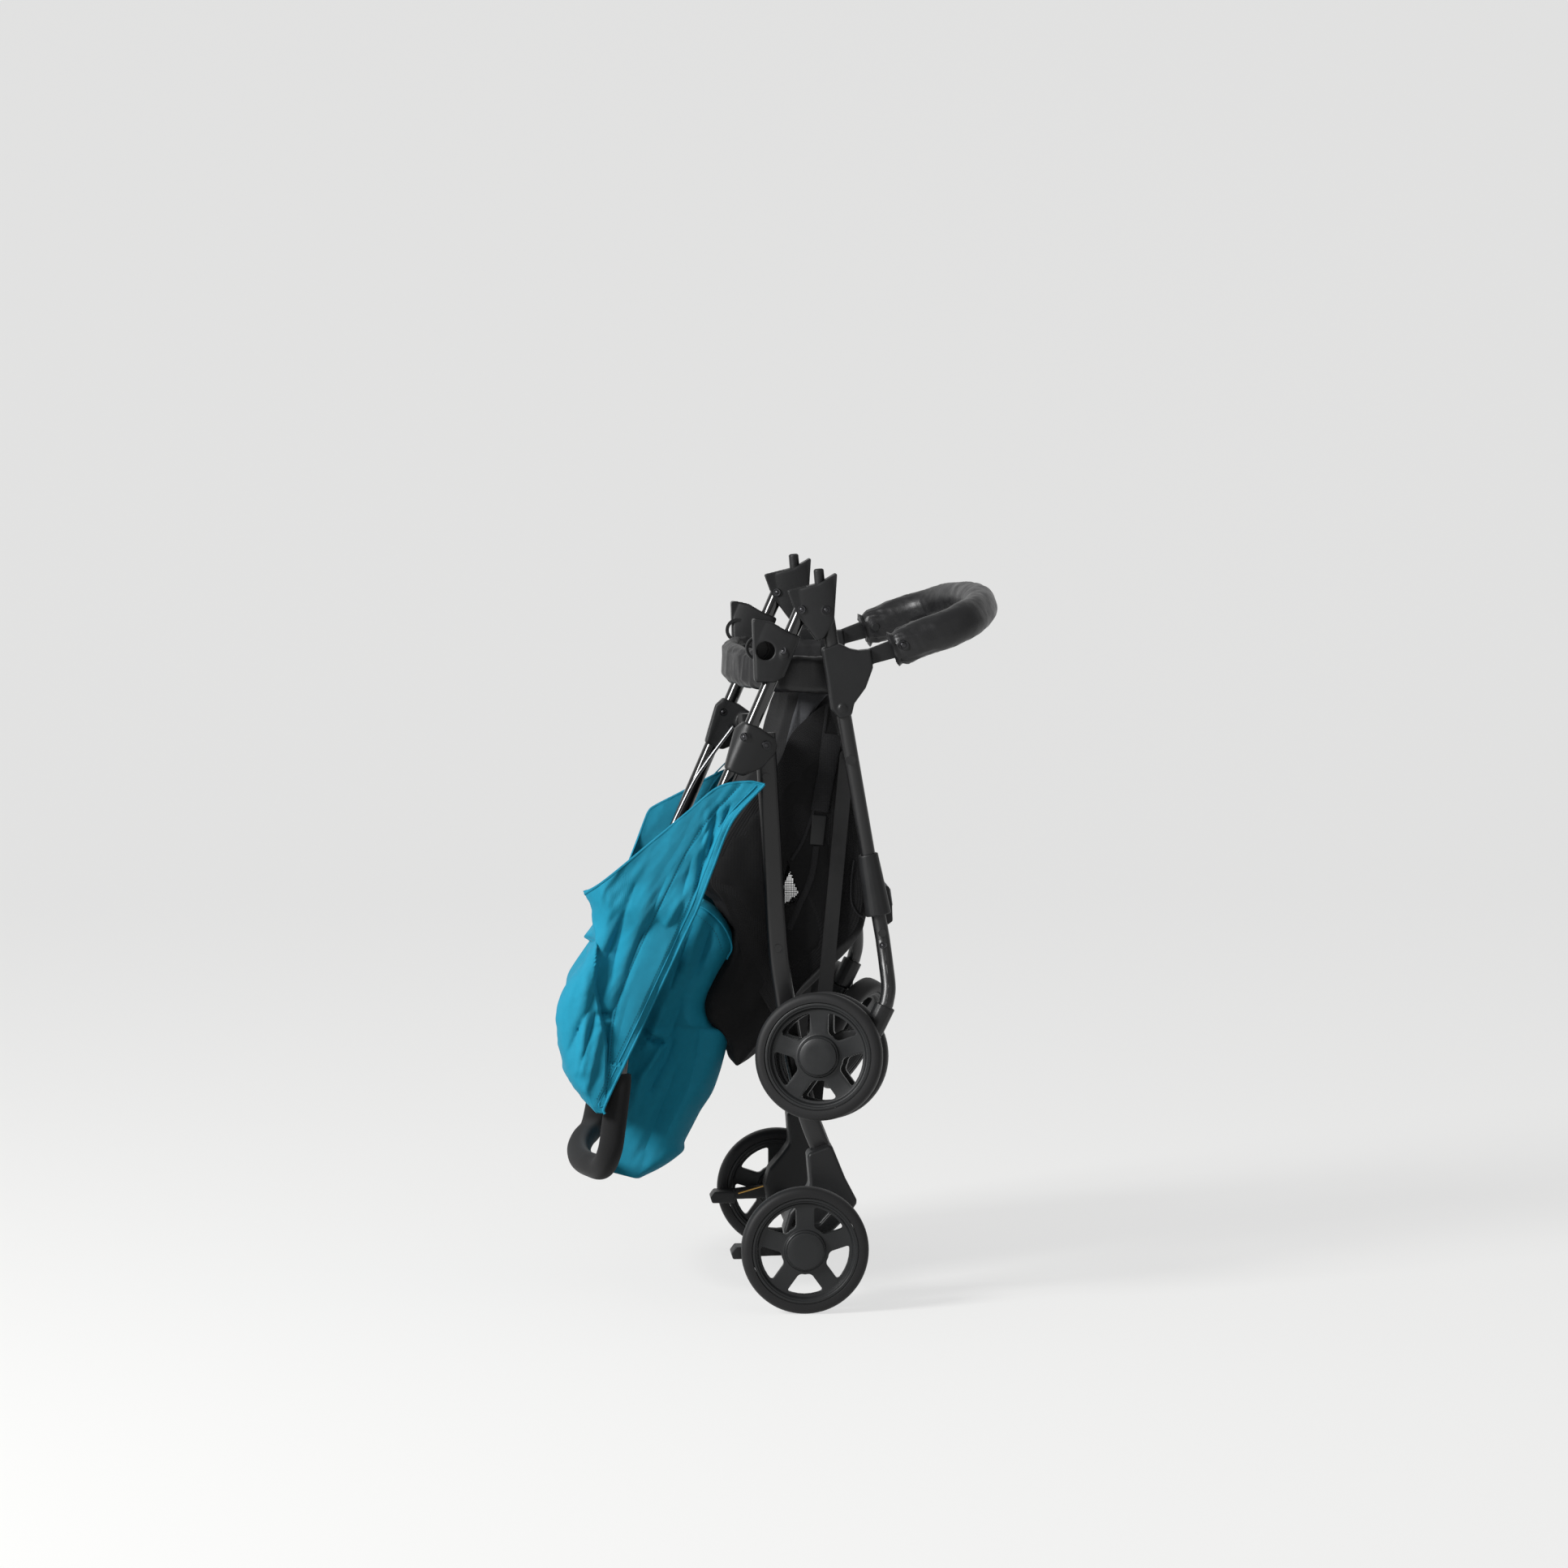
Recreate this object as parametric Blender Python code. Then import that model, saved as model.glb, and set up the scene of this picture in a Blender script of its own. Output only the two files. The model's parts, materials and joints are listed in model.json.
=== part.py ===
"""Compact stroller, folded flat and standing on its rear wheels.

Metres. +Z is up, +X points to the stroller's front and +Y to its left side. A side-plane point is (x, z),
measured from the floor under the rear axle, and a third value beside it is the distance from the middle plane.
"""

import math

import bmesh
import bpy
from mathutils import Matrix, Vector

# Whole object
BOX_MIDDLE = (-0.02115, 0.0355)  # middle of the box, from the rear axle's middle; one caster hangs out
GAP = 0.0003  # between pieces that touch
RUNNING_GAP = 0.0004  # around turning pins and axles
BORE_FIT = 0.0004  # around a tube that stays in its bore

# Frame tubes
FRAME_HALF = 0.185  # handle tubes and front legs, from the middle plane
TUBE_R = 0.008
TUBE_SIDES = 10
FOLD_PIVOT = (-0.0015, 0.7691)
HANDLE_LEAN = math.radians(23.4)
HANDLE_KNEE_DROP = 0.441  # fold pivot down to the bend of the handle tube
HANDLE_KNEE_R = 0.120
GRIP_LEAN = math.radians(6.9)
HANDLE_TUBE_TOP = 0.009  # tube end above the fold pivot
HANDLE_TUBE_FOOT = 0.250  # height of the joint between tube and handle bar
GRIP_OVERLAP = 0.012  # foam above that joint
GRIP_STRAIGHT = 0.045  # bar below it before it bends inwards
GRIP_R = 0.0135
GRIP_BEND = ((-0.2115, 0.1760, 0.973), (-0.2189, 0.1535, 0.811), (-0.2305, 0.1485, 0.541),
             (-0.2370, 0.1458, 0.270))
GRIP_MIDDLE = (-0.2386, 0.1449)

# Front leg and caster
LEG_TOP_DROP = 0.004  # top of the leg below the fold pivot
LEG_PIVOT_OFFSET = 0.0266  # leg axis in front of the fold pivot
LEG_SLOPE = 0.174
LEG_STRAIGHT_END = 0.408
LEG_PIN_LEVEL = 0.4150
CASTER_OUT = 0.027  # caster's middle outside the leg
CASTER_HALF = FRAME_HALF + CASTER_OUT
LEG_BEND = ((0.0910, 0.3800, FRAME_HALF + 0.33 * CASTER_OUT), (0.0925, 0.3560, FRAME_HALF + 0.80 * CASTER_OUT))
LEG_SEAT_RISE = 0.006  # tube end above the caster's head
LEG_BEND_RISE = 0.029
CASTER_HEAD = (0.0769, 0.3135)
CASTER_LEAN = math.radians(26.2)
CASTER_TRAIL = 0.038
CASTER_DROP = 0.054
CASTER_TURN_RIGHT = math.radians(14.0)
CASTER_TURN_LEFT = math.radians(115.0)
TWIN_HALF = 0.023  # each front wheel from the caster's middle
FORK_HALF = 0.010
FORK_SIDE = ((0.030, 0.018), (0.050, 0.044), (0.0505, 0.058), (0.044, 0.065), (0.032, 0.066), (0.022, 0.058),
             (0.006, 0.030), (-0.010, 0.016))  # behind and below the caster's head
SOCKET_R = 0.0116
SOCKET_RISE = 0.027
SOCKET_DROP = 0.0055
STEM_R = 0.004
STEM_RISE = 0.003
STEM_DROP = 0.012

# Wheels
WHEEL_R = 0.070
TYRE_HALF = 0.011
TYRE_TREAD_HALF = 0.0060
TYRE_SIDE_R = 0.0655
TYRE_ROUND = 0.0010
TYRE_SEAT_R = 0.0582
RIM_HALF = 0.0095
RIM_LIP_R = 0.0520
WEB_HALF = 0.0040
HUB_R = 0.0215
HUB_HALF = 0.0085
CAP_R = 0.0205
CAP_THICK = 0.0030
SPOKES = 5
SPOKE_HALF = 0.0095
WINDOW_INNER_R = 0.0270
WINDOW_OUTER_R = 0.0490
WHEEL_SEGMENTS = 24
AXLE_R = 0.004
AXLE_END = 0.0015  # axle beyond the hub
CAP_HOLLOW = 0.0018

# Rear frame
REAR_LEG_INSET = 0.037
REAR_LEG_HALF = FRAME_HALF - REAR_LEG_INSET
REAR_LEG_WIDE = 0.011
REAR_LEG_THIN = 0.006
REAR_PIVOT = (-0.0392, 0.6208)
REAR_LEG_LINE = ((-0.0385, 0.6320), (-0.0372, 0.6050), (-0.0313, 0.5015), (-0.0250, 0.3993), (-0.0183, 0.3462),
                 (-0.0065, 0.2770), (0.0092, 0.2081), (0.0288, 0.1585), (0.0479, 0.1136))
REAR_LEG_RIVETS = ((-0.0377, 0.5840), (-0.0248, 0.3948))
AXLE_TUBE_R = 0.0085
FOOT_INNER = REAR_LEG_HALF - 0.009
FOOT_OUTER = REAR_LEG_HALF + 0.028
FOOT_BOSS_R = 0.0135
FOOT_POCKET_DEPTH = 0.005
FOOT_POCKET = ((-0.0120, 0.0880), (-0.0060, 0.1010), (0.0060, 0.1140), (0.0150, 0.1240), (0.0360, 0.1240),
               (0.0400, 0.1120), (0.0200, 0.0900))
FOOT_OUTLINE = ((-0.0150, 0.0600), (-0.0200, 0.0840), (-0.0140, 0.1040), (0.0000, 0.1206), (0.0090, 0.1330),
                (0.0060, 0.1690), (0.0330, 0.1790), (0.0480, 0.1420), (0.0620, 0.1150), (0.0520, 0.1000),
                (0.0300, 0.0780), (0.0150, 0.0590), (0.0000, 0.0540))
LEVER_CLEAR = 0.014  # from the foot's face, where the spring sits
LEVER_WIDE = 0.0165
LEVER_INNER = FOOT_OUTER + LEVER_CLEAR
LEVER_OUTER = LEVER_INNER + LEVER_WIDE
REAR_WHEEL_CLEAR = 0.0025
REAR_WHEEL_HALF = LEVER_OUTER + REAR_WHEEL_CLEAR + TYRE_HALF
LEVER_BOSS_R = 0.0105
LEVER_TIP = (-0.0750, 0.0640)
PEDAL_LENGTH = 0.024
SPRING_R = 0.0075
SPRING_WIRE = 0.0008
SPRING_TURNS = 4
SPRING_SIDES = 6
SPRING_PITCH = 0.0021
SPRING_START = 0.0105  # first turn before the lever's face
FOOT_BOSS_GAP = 0.0120  # foot's boss before the lever's face

# Side link
LINK_PIVOT = (0.0524, 0.6050)
LINK_END = (0.0145, 0.1894)
LINK_THIN = 0.002
LINK_CLEAR = 0.003  # from the rear leg
LINK_HALF = REAR_LEG_HALF - REAR_LEG_THIN - LINK_CLEAR - LINK_THIN
LINK_WIDE = 0.008
STUD_R = 0.0040
RIVET_R = 0.0045
RIVET_RISE = 0.0018
PIN_R = 0.0030

# Hinge cup and lock collar, as offsets from the fold pivot
CUP_HALF = 0.0115
SHELL = 0.0028
CUP_OUTLINE = ((-0.0152, 0.0210), (0.0165, 0.0286), (0.0271, 0.0338), (0.0386, 0.0408), (0.0352, -0.0113),
               (0.0245, -0.0300), (0.0165, -0.0343), (-0.0057, -0.0050))
CUP_CHANNEL_R = 0.0130
CUP_BACK = ((-0.040, -0.045), (0.0, -0.045), (0.0105, -0.012), (0.0105, 0.012), (0.0045, 0.045), (-0.040, 0.045))
CUP_BORE = 0.060  # bore for the leg, below the fold pivot
LOCK_PIN_R = 0.0058
LOCK_PIN_FOOT = (0.0215, 0.0120)
LOCK_PIN_TOP = (0.0187, 0.0448)
COLLAR_HALF = 0.0120
COLLAR_OUTLINE = ((-0.0540, -0.0090), (-0.0434, -0.0102), (-0.0322, -0.0128), (-0.0136, -0.0240),
                  (-0.0005, -0.0284), (-0.0190, -0.0723), (-0.0300, -0.0790), (-0.0518, -0.0783))
COLLAR_HOLE = (-0.0400, -0.0440)
COLLAR_HOLE_R = 0.0100
COLLAR_RIVET = (-0.0195, -0.0480)
COLLAR_DEPTH = 0.045
COLLAR_BACK = ((-0.0490, -0.0660), (-0.0508, 0.0060))
COLLAR_MOUTH = 0.0090
COLLAR_BORE = 0.120  # bore for the tube, below the fold pivot

# Pivot bracket on the handle tube
BRACKET_HALF = 0.0115
BRACKET_OUTLINE = ((-0.0740, 0.6400), (-0.0640, 0.6480), (-0.0455, 0.6400), (-0.0400, 0.6360), (-0.0300, 0.6290),
                   (-0.0275, 0.6200), (-0.0300, 0.6110), (-0.0380, 0.6040), (-0.0440, 0.5970), (-0.0660, 0.5880),
                   (-0.0860, 0.5960), (-0.0820, 0.6110))
BRACKET_RIVET = (-0.0620, 0.6308)
PIVOT_BOSS_R = 0.0100

# Canopy bow
BOW_HALF = FRAME_HALF - 0.015
BOW_R = 0.002
BOW_PIVOT = (-0.0542, 0.6143)
BOW_SEAT = 0.0095  # end of the wire in the bracket, outside its middle line
BOW_ELBOW = ((-0.0542, 0.6143, 1.008), (-0.0572, 0.6103, 1.0))
BOW_LINE = ((-0.0854, 0.5726, 1.0), (-0.1050, 0.5410, 0.994), (-0.1500, 0.4470, 0.971), (-0.1900, 0.3720, 0.894),
            (-0.2070, 0.3420, 0.706), (-0.2140, 0.3290, 0.353))
BOW_MIDDLE = (-0.2155, 0.3260)

# Bumper bar and its bracket
BUMPER_BOLT = (0.1110, 0.7298)
BUMPER_R = 0.0165
BUMPER_LINE = ((0.0970, 0.7245, 1.0), (0.1250, 0.7352, 1.0), (0.1550, 0.7467, 0.984), (0.1800, 0.7562, 0.892),
               (0.1970, 0.7627, 0.676), (0.2070, 0.7665, 0.378))
BUMPER_MIDDLE = (0.2110, 0.7680)
TONGUE_HALF = 0.0040
TONGUE_R = 0.0110
TONGUE_FIT = 0.0006
TONGUE_ROOT = ((0.0700, 0.7255), (0.0700, 0.7080))
BUMPER_SLOT = ((-0.0360, -0.0398), (0.0230, -0.0208), (0.0080, 0.0192), (-0.0410, 0.0302))  # from the bolt
PLATE_HALF = 0.0115
PLATE_OUTLINE = ((0.0203, 0.7270), (0.0390, 0.7329), (0.0520, 0.7265), (0.0612, 0.7248), (0.0737, 0.7261),
                 (0.0764, 0.7061), (0.0684, 0.6840), (0.0560, 0.6670), (0.0530, 0.6540), (0.0400, 0.6500),
                 (0.0310, 0.6600), (0.0275, 0.6850))
PLATE_RIVET = (0.0430, 0.6623)
HOOP_R = 0.0100
HOOP_HALF = FRAME_HALF - 0.027
HOOP_LEVEL = 0.7000
HOOP_BOSS_R = 0.0070
HOOP_LINE = ((0.0460, 0.7000, 1.0), (0.0100, 0.7000, 1.0), (-0.0150, 0.7010, 0.981), (-0.0380, 0.7030, 0.873),
             (-0.0540, 0.7045, 0.665), (-0.0630, 0.7055, 0.348))
HOOP_MIDDLE = (-0.0660, 0.7060)
HOOP_BOLT_X = 0.0360

# Footrest
SLEEVE_TOP = 0.5015
SLEEVE_FOOT = 0.4343
SLEEVE_TOP_R = 0.0110
SLEEVE_FOOT_R = 0.0145
FOOT_BAR = (0.0935, 0.4280)
FOOT_BAR_R = 0.0060
TREAD_OUTLINE = ((0.0890, 0.4720), (0.0985, 0.4600), (0.1010, 0.4420), (0.0950, 0.4360), (0.0890, 0.4400))
TREAD_HALF = FRAME_HALF - 0.020
CHEEK_OUTLINE = ((0.0790, 0.4700), (0.0960, 0.4640), (0.0995, 0.4430), (0.1000, 0.4260), (0.0940, 0.4215),
                 (0.0860, 0.4250), (0.0790, 0.4400))

# Seat cloth
SEAT_CLEAR = 0.0025  # from the side links
SEAT_HALF = LINK_HALF - LINK_THIN - SEAT_CLEAR
SEAT_OUTLINE = ((0.0020, 0.6860), (0.0320, 0.6860), (0.0400, 0.6516), (0.0530, 0.6022), (0.0640, 0.5438),
                (0.0725, 0.4971), (0.0770, 0.4538), (0.0790, 0.4280), (0.0800, 0.4090), (0.0500, 0.3790),
                (0.0004, 0.3330), (-0.0390, 0.2780), (-0.0600, 0.2560), (-0.0745, 0.2470), (-0.0715, 0.2830),
                (-0.0900, 0.3120), (-0.0780, 0.3400), (-0.0590, 0.3800), (-0.0700, 0.4080), (-0.0880, 0.4420),
                (-0.1130, 0.4580), (-0.1080, 0.4900), (-0.0900, 0.5350), (-0.0560, 0.5700), (-0.0208, 0.6116),
                (-0.0092, 0.6518))
SEAT_WINDOW = ((0.0267, 0.4884), (0.0402, 0.4478), (0.0187, 0.4345))
SEAT_ROUND = 0.012

# Hood and flap: side-plane curves along the edges of the folded sheets; the hood's left side hangs narrower
CLOTH_THICK = 0.0024
HOOD_HALF = FRAME_HALF + GRIP_R + GAP + CLOTH_THICK / 2  # it lies on the foam grip's legs
HOOD_EDGE = ((-0.0431, 0.5800), (-0.0785, 0.5398), (-0.0999, 0.4876), (-0.1215, 0.4326), (-0.1553, 0.3590),
             (-0.1860, 0.2941), (-0.2172, 0.2310), (-0.2181, 0.2203))
HOOD_HEM = ((-0.0431, 0.5800), (-0.0620, 0.5830), (-0.0935, 0.5772), (-0.1263, 0.5508), (-0.1688, 0.5156),
            (-0.2175, 0.4761), (-0.2396, 0.4611))
HOOD_BACK = ((-0.2396, 0.4611), (-0.2260, 0.4160), (-0.2450, 0.3840), (-0.2663, 0.3471), (-0.2680, 0.3231),
             (-0.2660, 0.2936), (-0.2560, 0.2552), (-0.2420, 0.2354))
FAR_HEM = ((-0.0431, 0.5800), (-0.0701, 0.5620), (-0.1050, 0.5420), (-0.1485, 0.5165), (-0.1680, 0.4860),
           (-0.1760, 0.4560))
FAR_BACK = ((-0.1760, 0.4560), (-0.1800, 0.4200), (-0.2050, 0.3840), (-0.2300, 0.3471), (-0.2420, 0.3231),
            (-0.2420, 0.2936), (-0.2360, 0.2552), (-0.2290, 0.2354))
HOOD_CORNER = 0.035
HOOD_SAG = 0.012
FLAP_HALF = FRAME_HALF - 0.051
FLAP_FRONT = ((-0.1086, 0.4436), (-0.0943, 0.4354), (-0.0791, 0.4190), (-0.0705, 0.3974), (-0.0760, 0.3830),
              (-0.0899, 0.3606), (-0.1050, 0.3292), (-0.1042, 0.3157), (-0.0960, 0.3030), (-0.0800, 0.2956),
              (-0.0828, 0.2658), (-0.0945, 0.2298), (-0.1125, 0.2029), (-0.1290, 0.1732), (-0.1314, 0.1614),
              (-0.1530, 0.1463), (-0.1755, 0.1357))
FLAP_BACK = ((-0.1230, 0.4300), (-0.1500, 0.4050), (-0.1760, 0.3810), (-0.1900, 0.3600), (-0.1880, 0.3400),
             (-0.1880, 0.3090), (-0.1940, 0.2770), (-0.2000, 0.2400), (-0.2020, 0.2100), (-0.2040, 0.1720),
             (-0.2096, 0.1440))
FLAP_CORNER = 0.030
FLAP_SAG = 0.010
SHEET_ROWS = 11
SIDE_STEPS = 4
CORNER_STEPS = 3
END_STEPS = 3
CORNER_START = 0.72  # share of a side before it turns round the closed end

FINISHES = {
    "gloss_tube": ((0.010, 0.010, 0.011), 0.15, 0.6),
    "satin_tube": ((0.013, 0.013, 0.014), 0.35, 0.4),
    "moulding": ((0.016, 0.016, 0.017), 0.45, 0.0),
    "foam": ((0.009, 0.009, 0.010), 0.90, 0.0),
    "tyre": ((0.014, 0.014, 0.015), 0.60, 0.0),
    "teal_cloth": ((0.012, 0.225, 0.345), 0.80, 0.0),
    "black_cloth": ((0.008, 0.008, 0.009), 0.90, 0.0),
    "vinyl": ((0.012, 0.012, 0.013), 0.40, 0.0),
    "steel": ((0.500, 0.500, 0.500), 0.30, 1.0),
    "spring_steel": ((0.600, 0.400, 0.150), 0.35, 1.0),
    "grey_tread": ((0.350, 0.350, 0.360), 0.40, 0.0),
}

SIDES = (("right", -1.0), ("left", 1.0))
PIVOTS = {}


def finish(name):
    """The named finish as a material with a Principled shader."""
    found = bpy.data.materials.get(name)
    if found:
        return found
    colour, roughness, metallic = FINISHES[name]
    made = bpy.data.materials.new(name)
    made.use_nodes = True
    shader = made.node_tree.nodes["Principled BSDF"]
    shader.inputs["Base Color"].default_value = (*colour, 1.0)
    shader.inputs["Roughness"].default_value = roughness
    shader.inputs["Metallic"].default_value = metallic
    return made


def joint_empty(name, pivot, parent=None):
    """An empty on a joint's axis, which carries the pieces of one moving body."""
    empty = bpy.data.objects.new(name, None)
    bpy.context.scene.collection.objects.link(empty)
    pivot = Vector(pivot)
    empty.parent = parent
    empty.location = pivot - PIVOTS[parent.name] if parent else pivot
    PIVOTS[name] = pivot
    return empty


def piece(name, bm, look, carrier):
    """A named object from a bmesh, carried by an empty."""
    bmesh.ops.recalc_face_normals(bm, faces=bm.faces)
    mesh = bpy.data.meshes.new(name)
    bm.to_mesh(mesh)
    bm.free()
    mesh.transform(Matrix.Translation(-PIVOTS[carrier.name]))
    mesh.shade_smooth()
    mesh.set_sharp_from_angle(angle=math.radians(35.0))
    mesh.materials.append(finish(look))
    obj = bpy.data.objects.new(name, mesh)
    bpy.context.scene.collection.objects.link(obj)
    obj.parent = carrier
    return obj


def combine(obj, bm, operation):
    """Adds or cuts a helper shape, which stays hidden."""
    carrier = obj.parent
    number = len(obj.modifiers)
    helper = piece(f"{obj.name}_helper_{number}", bm, "moulding", carrier)
    helper.hide_render = True
    helper.display_type = "WIRE"
    modifier = obj.modifiers.new(f"{operation.lower()}_{number}", "BOOLEAN")
    modifier.object = helper
    modifier.operation = operation
    modifier.solver = "EXACT"


def cut(obj, bm):
    combine(obj, bm, "DIFFERENCE")


def join(obj, bm):
    combine(obj, bm, "UNION")


def round_edges(obj, width, segments=1, degrees=40.0):
    modifier = obj.modifiers.new("round_edges", "BEVEL")
    modifier.width = width
    modifier.segments = segments
    modifier.limit_method = "ANGLE"
    modifier.angle_limit = math.radians(degrees)
    modifier.use_clamp_overlap = True


def circle(radius, sides):
    return [(radius * math.cos(2 * math.pi * k / sides), radius * math.sin(2 * math.pi * k / sides))
            for k in range(sides)]


def obround(half_wide, half_thin, end_sides=4):
    """A flat oval: round ends on a straight middle. The first value runs across its thin side."""
    points = []
    for end in (1.0, -1.0):
        for k in range(end_sides + 1):
            angle = math.pi * k / end_sides
            across = half_thin * math.cos(angle) * end
            along = (half_wide - half_thin + half_thin * math.sin(angle)) * end
            points.append((across, along))
    return points


def frames(path, hint):
    """A square frame at each point of a path, carried along without twist."""
    found = []
    normal = Vector(hint)
    for k, point in enumerate(path):
        before = path[max(k - 1, 0)]
        after = path[min(k + 1, len(path) - 1)]
        tangent = (after - before).normalized()
        normal = (normal - tangent * normal.dot(tangent)).normalized()
        found.append((point, normal, tangent.cross(normal)))
    return found


def sweep(path, section, bore=None, hint=(0.0, 1.0, 0.0), growth=1.0):
    """A solid that carries a section along a path, with a second section as its bore where one is given.

    The outer section grows steadily to the given factor at the path's end.
    """
    bm = bmesh.new()
    skins = []
    for outline in (section, bore) if bore else (section,):
        rings = []
        for k, (point, normal, across) in enumerate(frames(path, hint)):
            factor = 1.0 + (growth - 1.0) * k / (len(path) - 1) if outline is section else 1.0
            rings.append([bm.verts.new(point + (normal * a + across * b) * factor) for a, b in outline])
        count = len(outline)
        for ring, following in zip(rings, rings[1:]):
            for k in range(count):
                bm.faces.new((ring[k], ring[(k + 1) % count], following[(k + 1) % count], following[k]))
        skins.append(rings)
    for end in (0, -1):
        if bore:
            outer, inner = skins[0][end], skins[1][end]
            count = len(outer)
            for k in range(count):
                bm.faces.new((outer[k], outer[(k + 1) % count], inner[(k + 1) % count], inner[k]))
        else:
            bm.faces.new(skins[0][end])
    return bm


def rod(start, end, radius, sides=8):
    return sweep([Vector(start), Vector(end)], circle(radius, sides), hint=(0.31, 0.47, 0.83))


def cross_rod(point, inner, outer, side, radius, sides=8):
    """A round bar square to the side plane, between two distances from the middle."""
    x, z = point
    return sweep([Vector((x, side * inner, z)), Vector((x, side * outer, z))], circle(radius, sides),
                 hint=(1.0, 0.0, 0.0))


def prism(outline, inner, outer, side=1.0):
    """A side-plane outline, extruded between two distances from the middle."""
    bm = bmesh.new()
    face = bm.faces.new([bm.verts.new((x, side * inner, z)) for x, z in outline])
    walls = bmesh.ops.extrude_face_region(bm, geom=[face])
    moved = [item for item in walls["geom"] if isinstance(item, bmesh.types.BMVert)]
    bmesh.ops.translate(bm, vec=(0.0, side * (outer - inner), 0.0), verts=moved)
    return bm


def turned(profile, segments):
    """A closed (radius, y) profile turned once about the Y axis, with a facet at the bottom."""
    bm = bmesh.new()
    rings = []
    for k in range(segments):
        angle = 2 * math.pi * (k + 0.5) / segments
        rings.append([bm.verts.new((r * math.sin(angle), y, -r * math.cos(angle))) for r, y in profile])
    count = len(profile)
    for k, ring in enumerate(rings):
        following = rings[(k + 1) % segments]
        for i in range(count):
            bm.faces.new((ring[i], ring[(i + 1) % count], following[(i + 1) % count], following[i]))
    return bm


def moved(bm, place):
    bmesh.ops.translate(bm, vec=Vector(place), verts=bm.verts)
    return bm


def smooth_path(points, steps=3):
    """A Catmull-Rom curve through the points."""
    line = [Vector(p) for p in points]
    line = [2 * line[0] - line[1], *line, 2 * line[-1] - line[-2]]
    path = []
    for a, b, c, d in zip(line, line[1:], line[2:], line[3:]):
        for k in range(steps):
            t = k / steps
            path.append(0.5 * (2 * b + (c - a) * t + (2 * a - 5 * b + 4 * c - d) * t * t
                               + (3 * b - a - 3 * c + d) * t ** 3))
    path.append(line[-2])
    return path


def in_plane(points, distance):
    """Side-plane points at one distance from the middle, as points in space."""
    return [Vector((x, distance, z)) for x, z in points]


def both_sides(half, middle):
    """A path that mirrors a right-hand half over the middle plane."""
    right = [(x, -y, z) for x, z, y in half]
    left = [(x, y, z) for x, z, y in reversed(half)]
    return [*right, (middle[0], 0.0, middle[1]), *left]


def widened(line, half):
    """A line whose third values are shares of a half width, with that width put in."""
    return [(x, z, share * half) for x, z, share in line]


def from_pivot(offset):
    return (FOLD_PIVOT[0] + offset[0], FOLD_PIVOT[1] + offset[1])


def handle_point(height):
    """The straight upper run of the handle tube's axis at a height."""
    return (FOLD_PIVOT[0] - (FOLD_PIVOT[1] - height) * math.tan(HANDLE_LEAN), height)


def handle_line(side):
    """Axis of one handle tube from its top, round the knee, down to the joint with the handle bar."""
    knee = handle_point(FOLD_PIVOT[1] - HANDLE_KNEE_DROP)
    turn = HANDLE_LEAN - GRIP_LEAN
    tangent = HANDLE_KNEE_R * math.tan(turn / 2)
    points = [handle_point(FOLD_PIVOT[1] + HANDLE_TUBE_TOP)]
    steps = 4
    start_x = knee[0] + tangent * math.sin(HANDLE_LEAN)
    start_z = knee[1] + tangent * math.cos(HANDLE_LEAN)
    centre_x = start_x + HANDLE_KNEE_R * math.cos(HANDLE_LEAN)
    centre_z = start_z - HANDLE_KNEE_R * math.sin(HANDLE_LEAN)
    for k in range(steps + 1):
        lean = HANDLE_LEAN - turn * k / steps
        points.append((centre_x - HANDLE_KNEE_R * math.cos(lean), centre_z + HANDLE_KNEE_R * math.sin(lean)))
    drop = points[-1][1] - HANDLE_TUBE_FOOT
    points.append((points[-1][0] - drop * math.tan(GRIP_LEAN), HANDLE_TUBE_FOOT))
    return in_plane(points, side * FRAME_HALF)


def grip_leg(height):
    """The lower run of the handle tube's axis at a height."""
    foot = handle_line(1.0)[-1]
    return (foot.x - (HANDLE_TUBE_FOOT - height) * math.tan(GRIP_LEAN), height)


def grip_line(start):
    """Axis of the handle bar from one leg, across, to the other."""
    curve = [(*grip_leg(HANDLE_TUBE_FOOT - GRIP_STRAIGHT), FRAME_HALF), *widened(GRIP_BEND, FRAME_HALF)]
    x, z = grip_leg(start)
    bar = smooth_path(both_sides(curve, GRIP_MIDDLE), 2)
    return [Vector((x, -FRAME_HALF, z)), *bar, Vector((x, FRAME_HALF, z))]


def leg_point(height):
    """The straight run of the front leg's axis at a height."""
    return (FOLD_PIVOT[0] + LEG_PIVOT_OFFSET + (FOLD_PIVOT[1] - height) * LEG_SLOPE, height)


def caster_frame(side):
    """Head point, downward axis and trailing direction of one caster."""
    head = Vector((CASTER_HEAD[0], side * CASTER_HALF, CASTER_HEAD[1]))
    down = Vector((-math.sin(CASTER_LEAN), 0.0, -math.cos(CASTER_LEAN)))
    trail = Vector((-math.cos(CASTER_LEAN), 0.0, math.sin(CASTER_LEAN)))
    return head, down, trail


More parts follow.
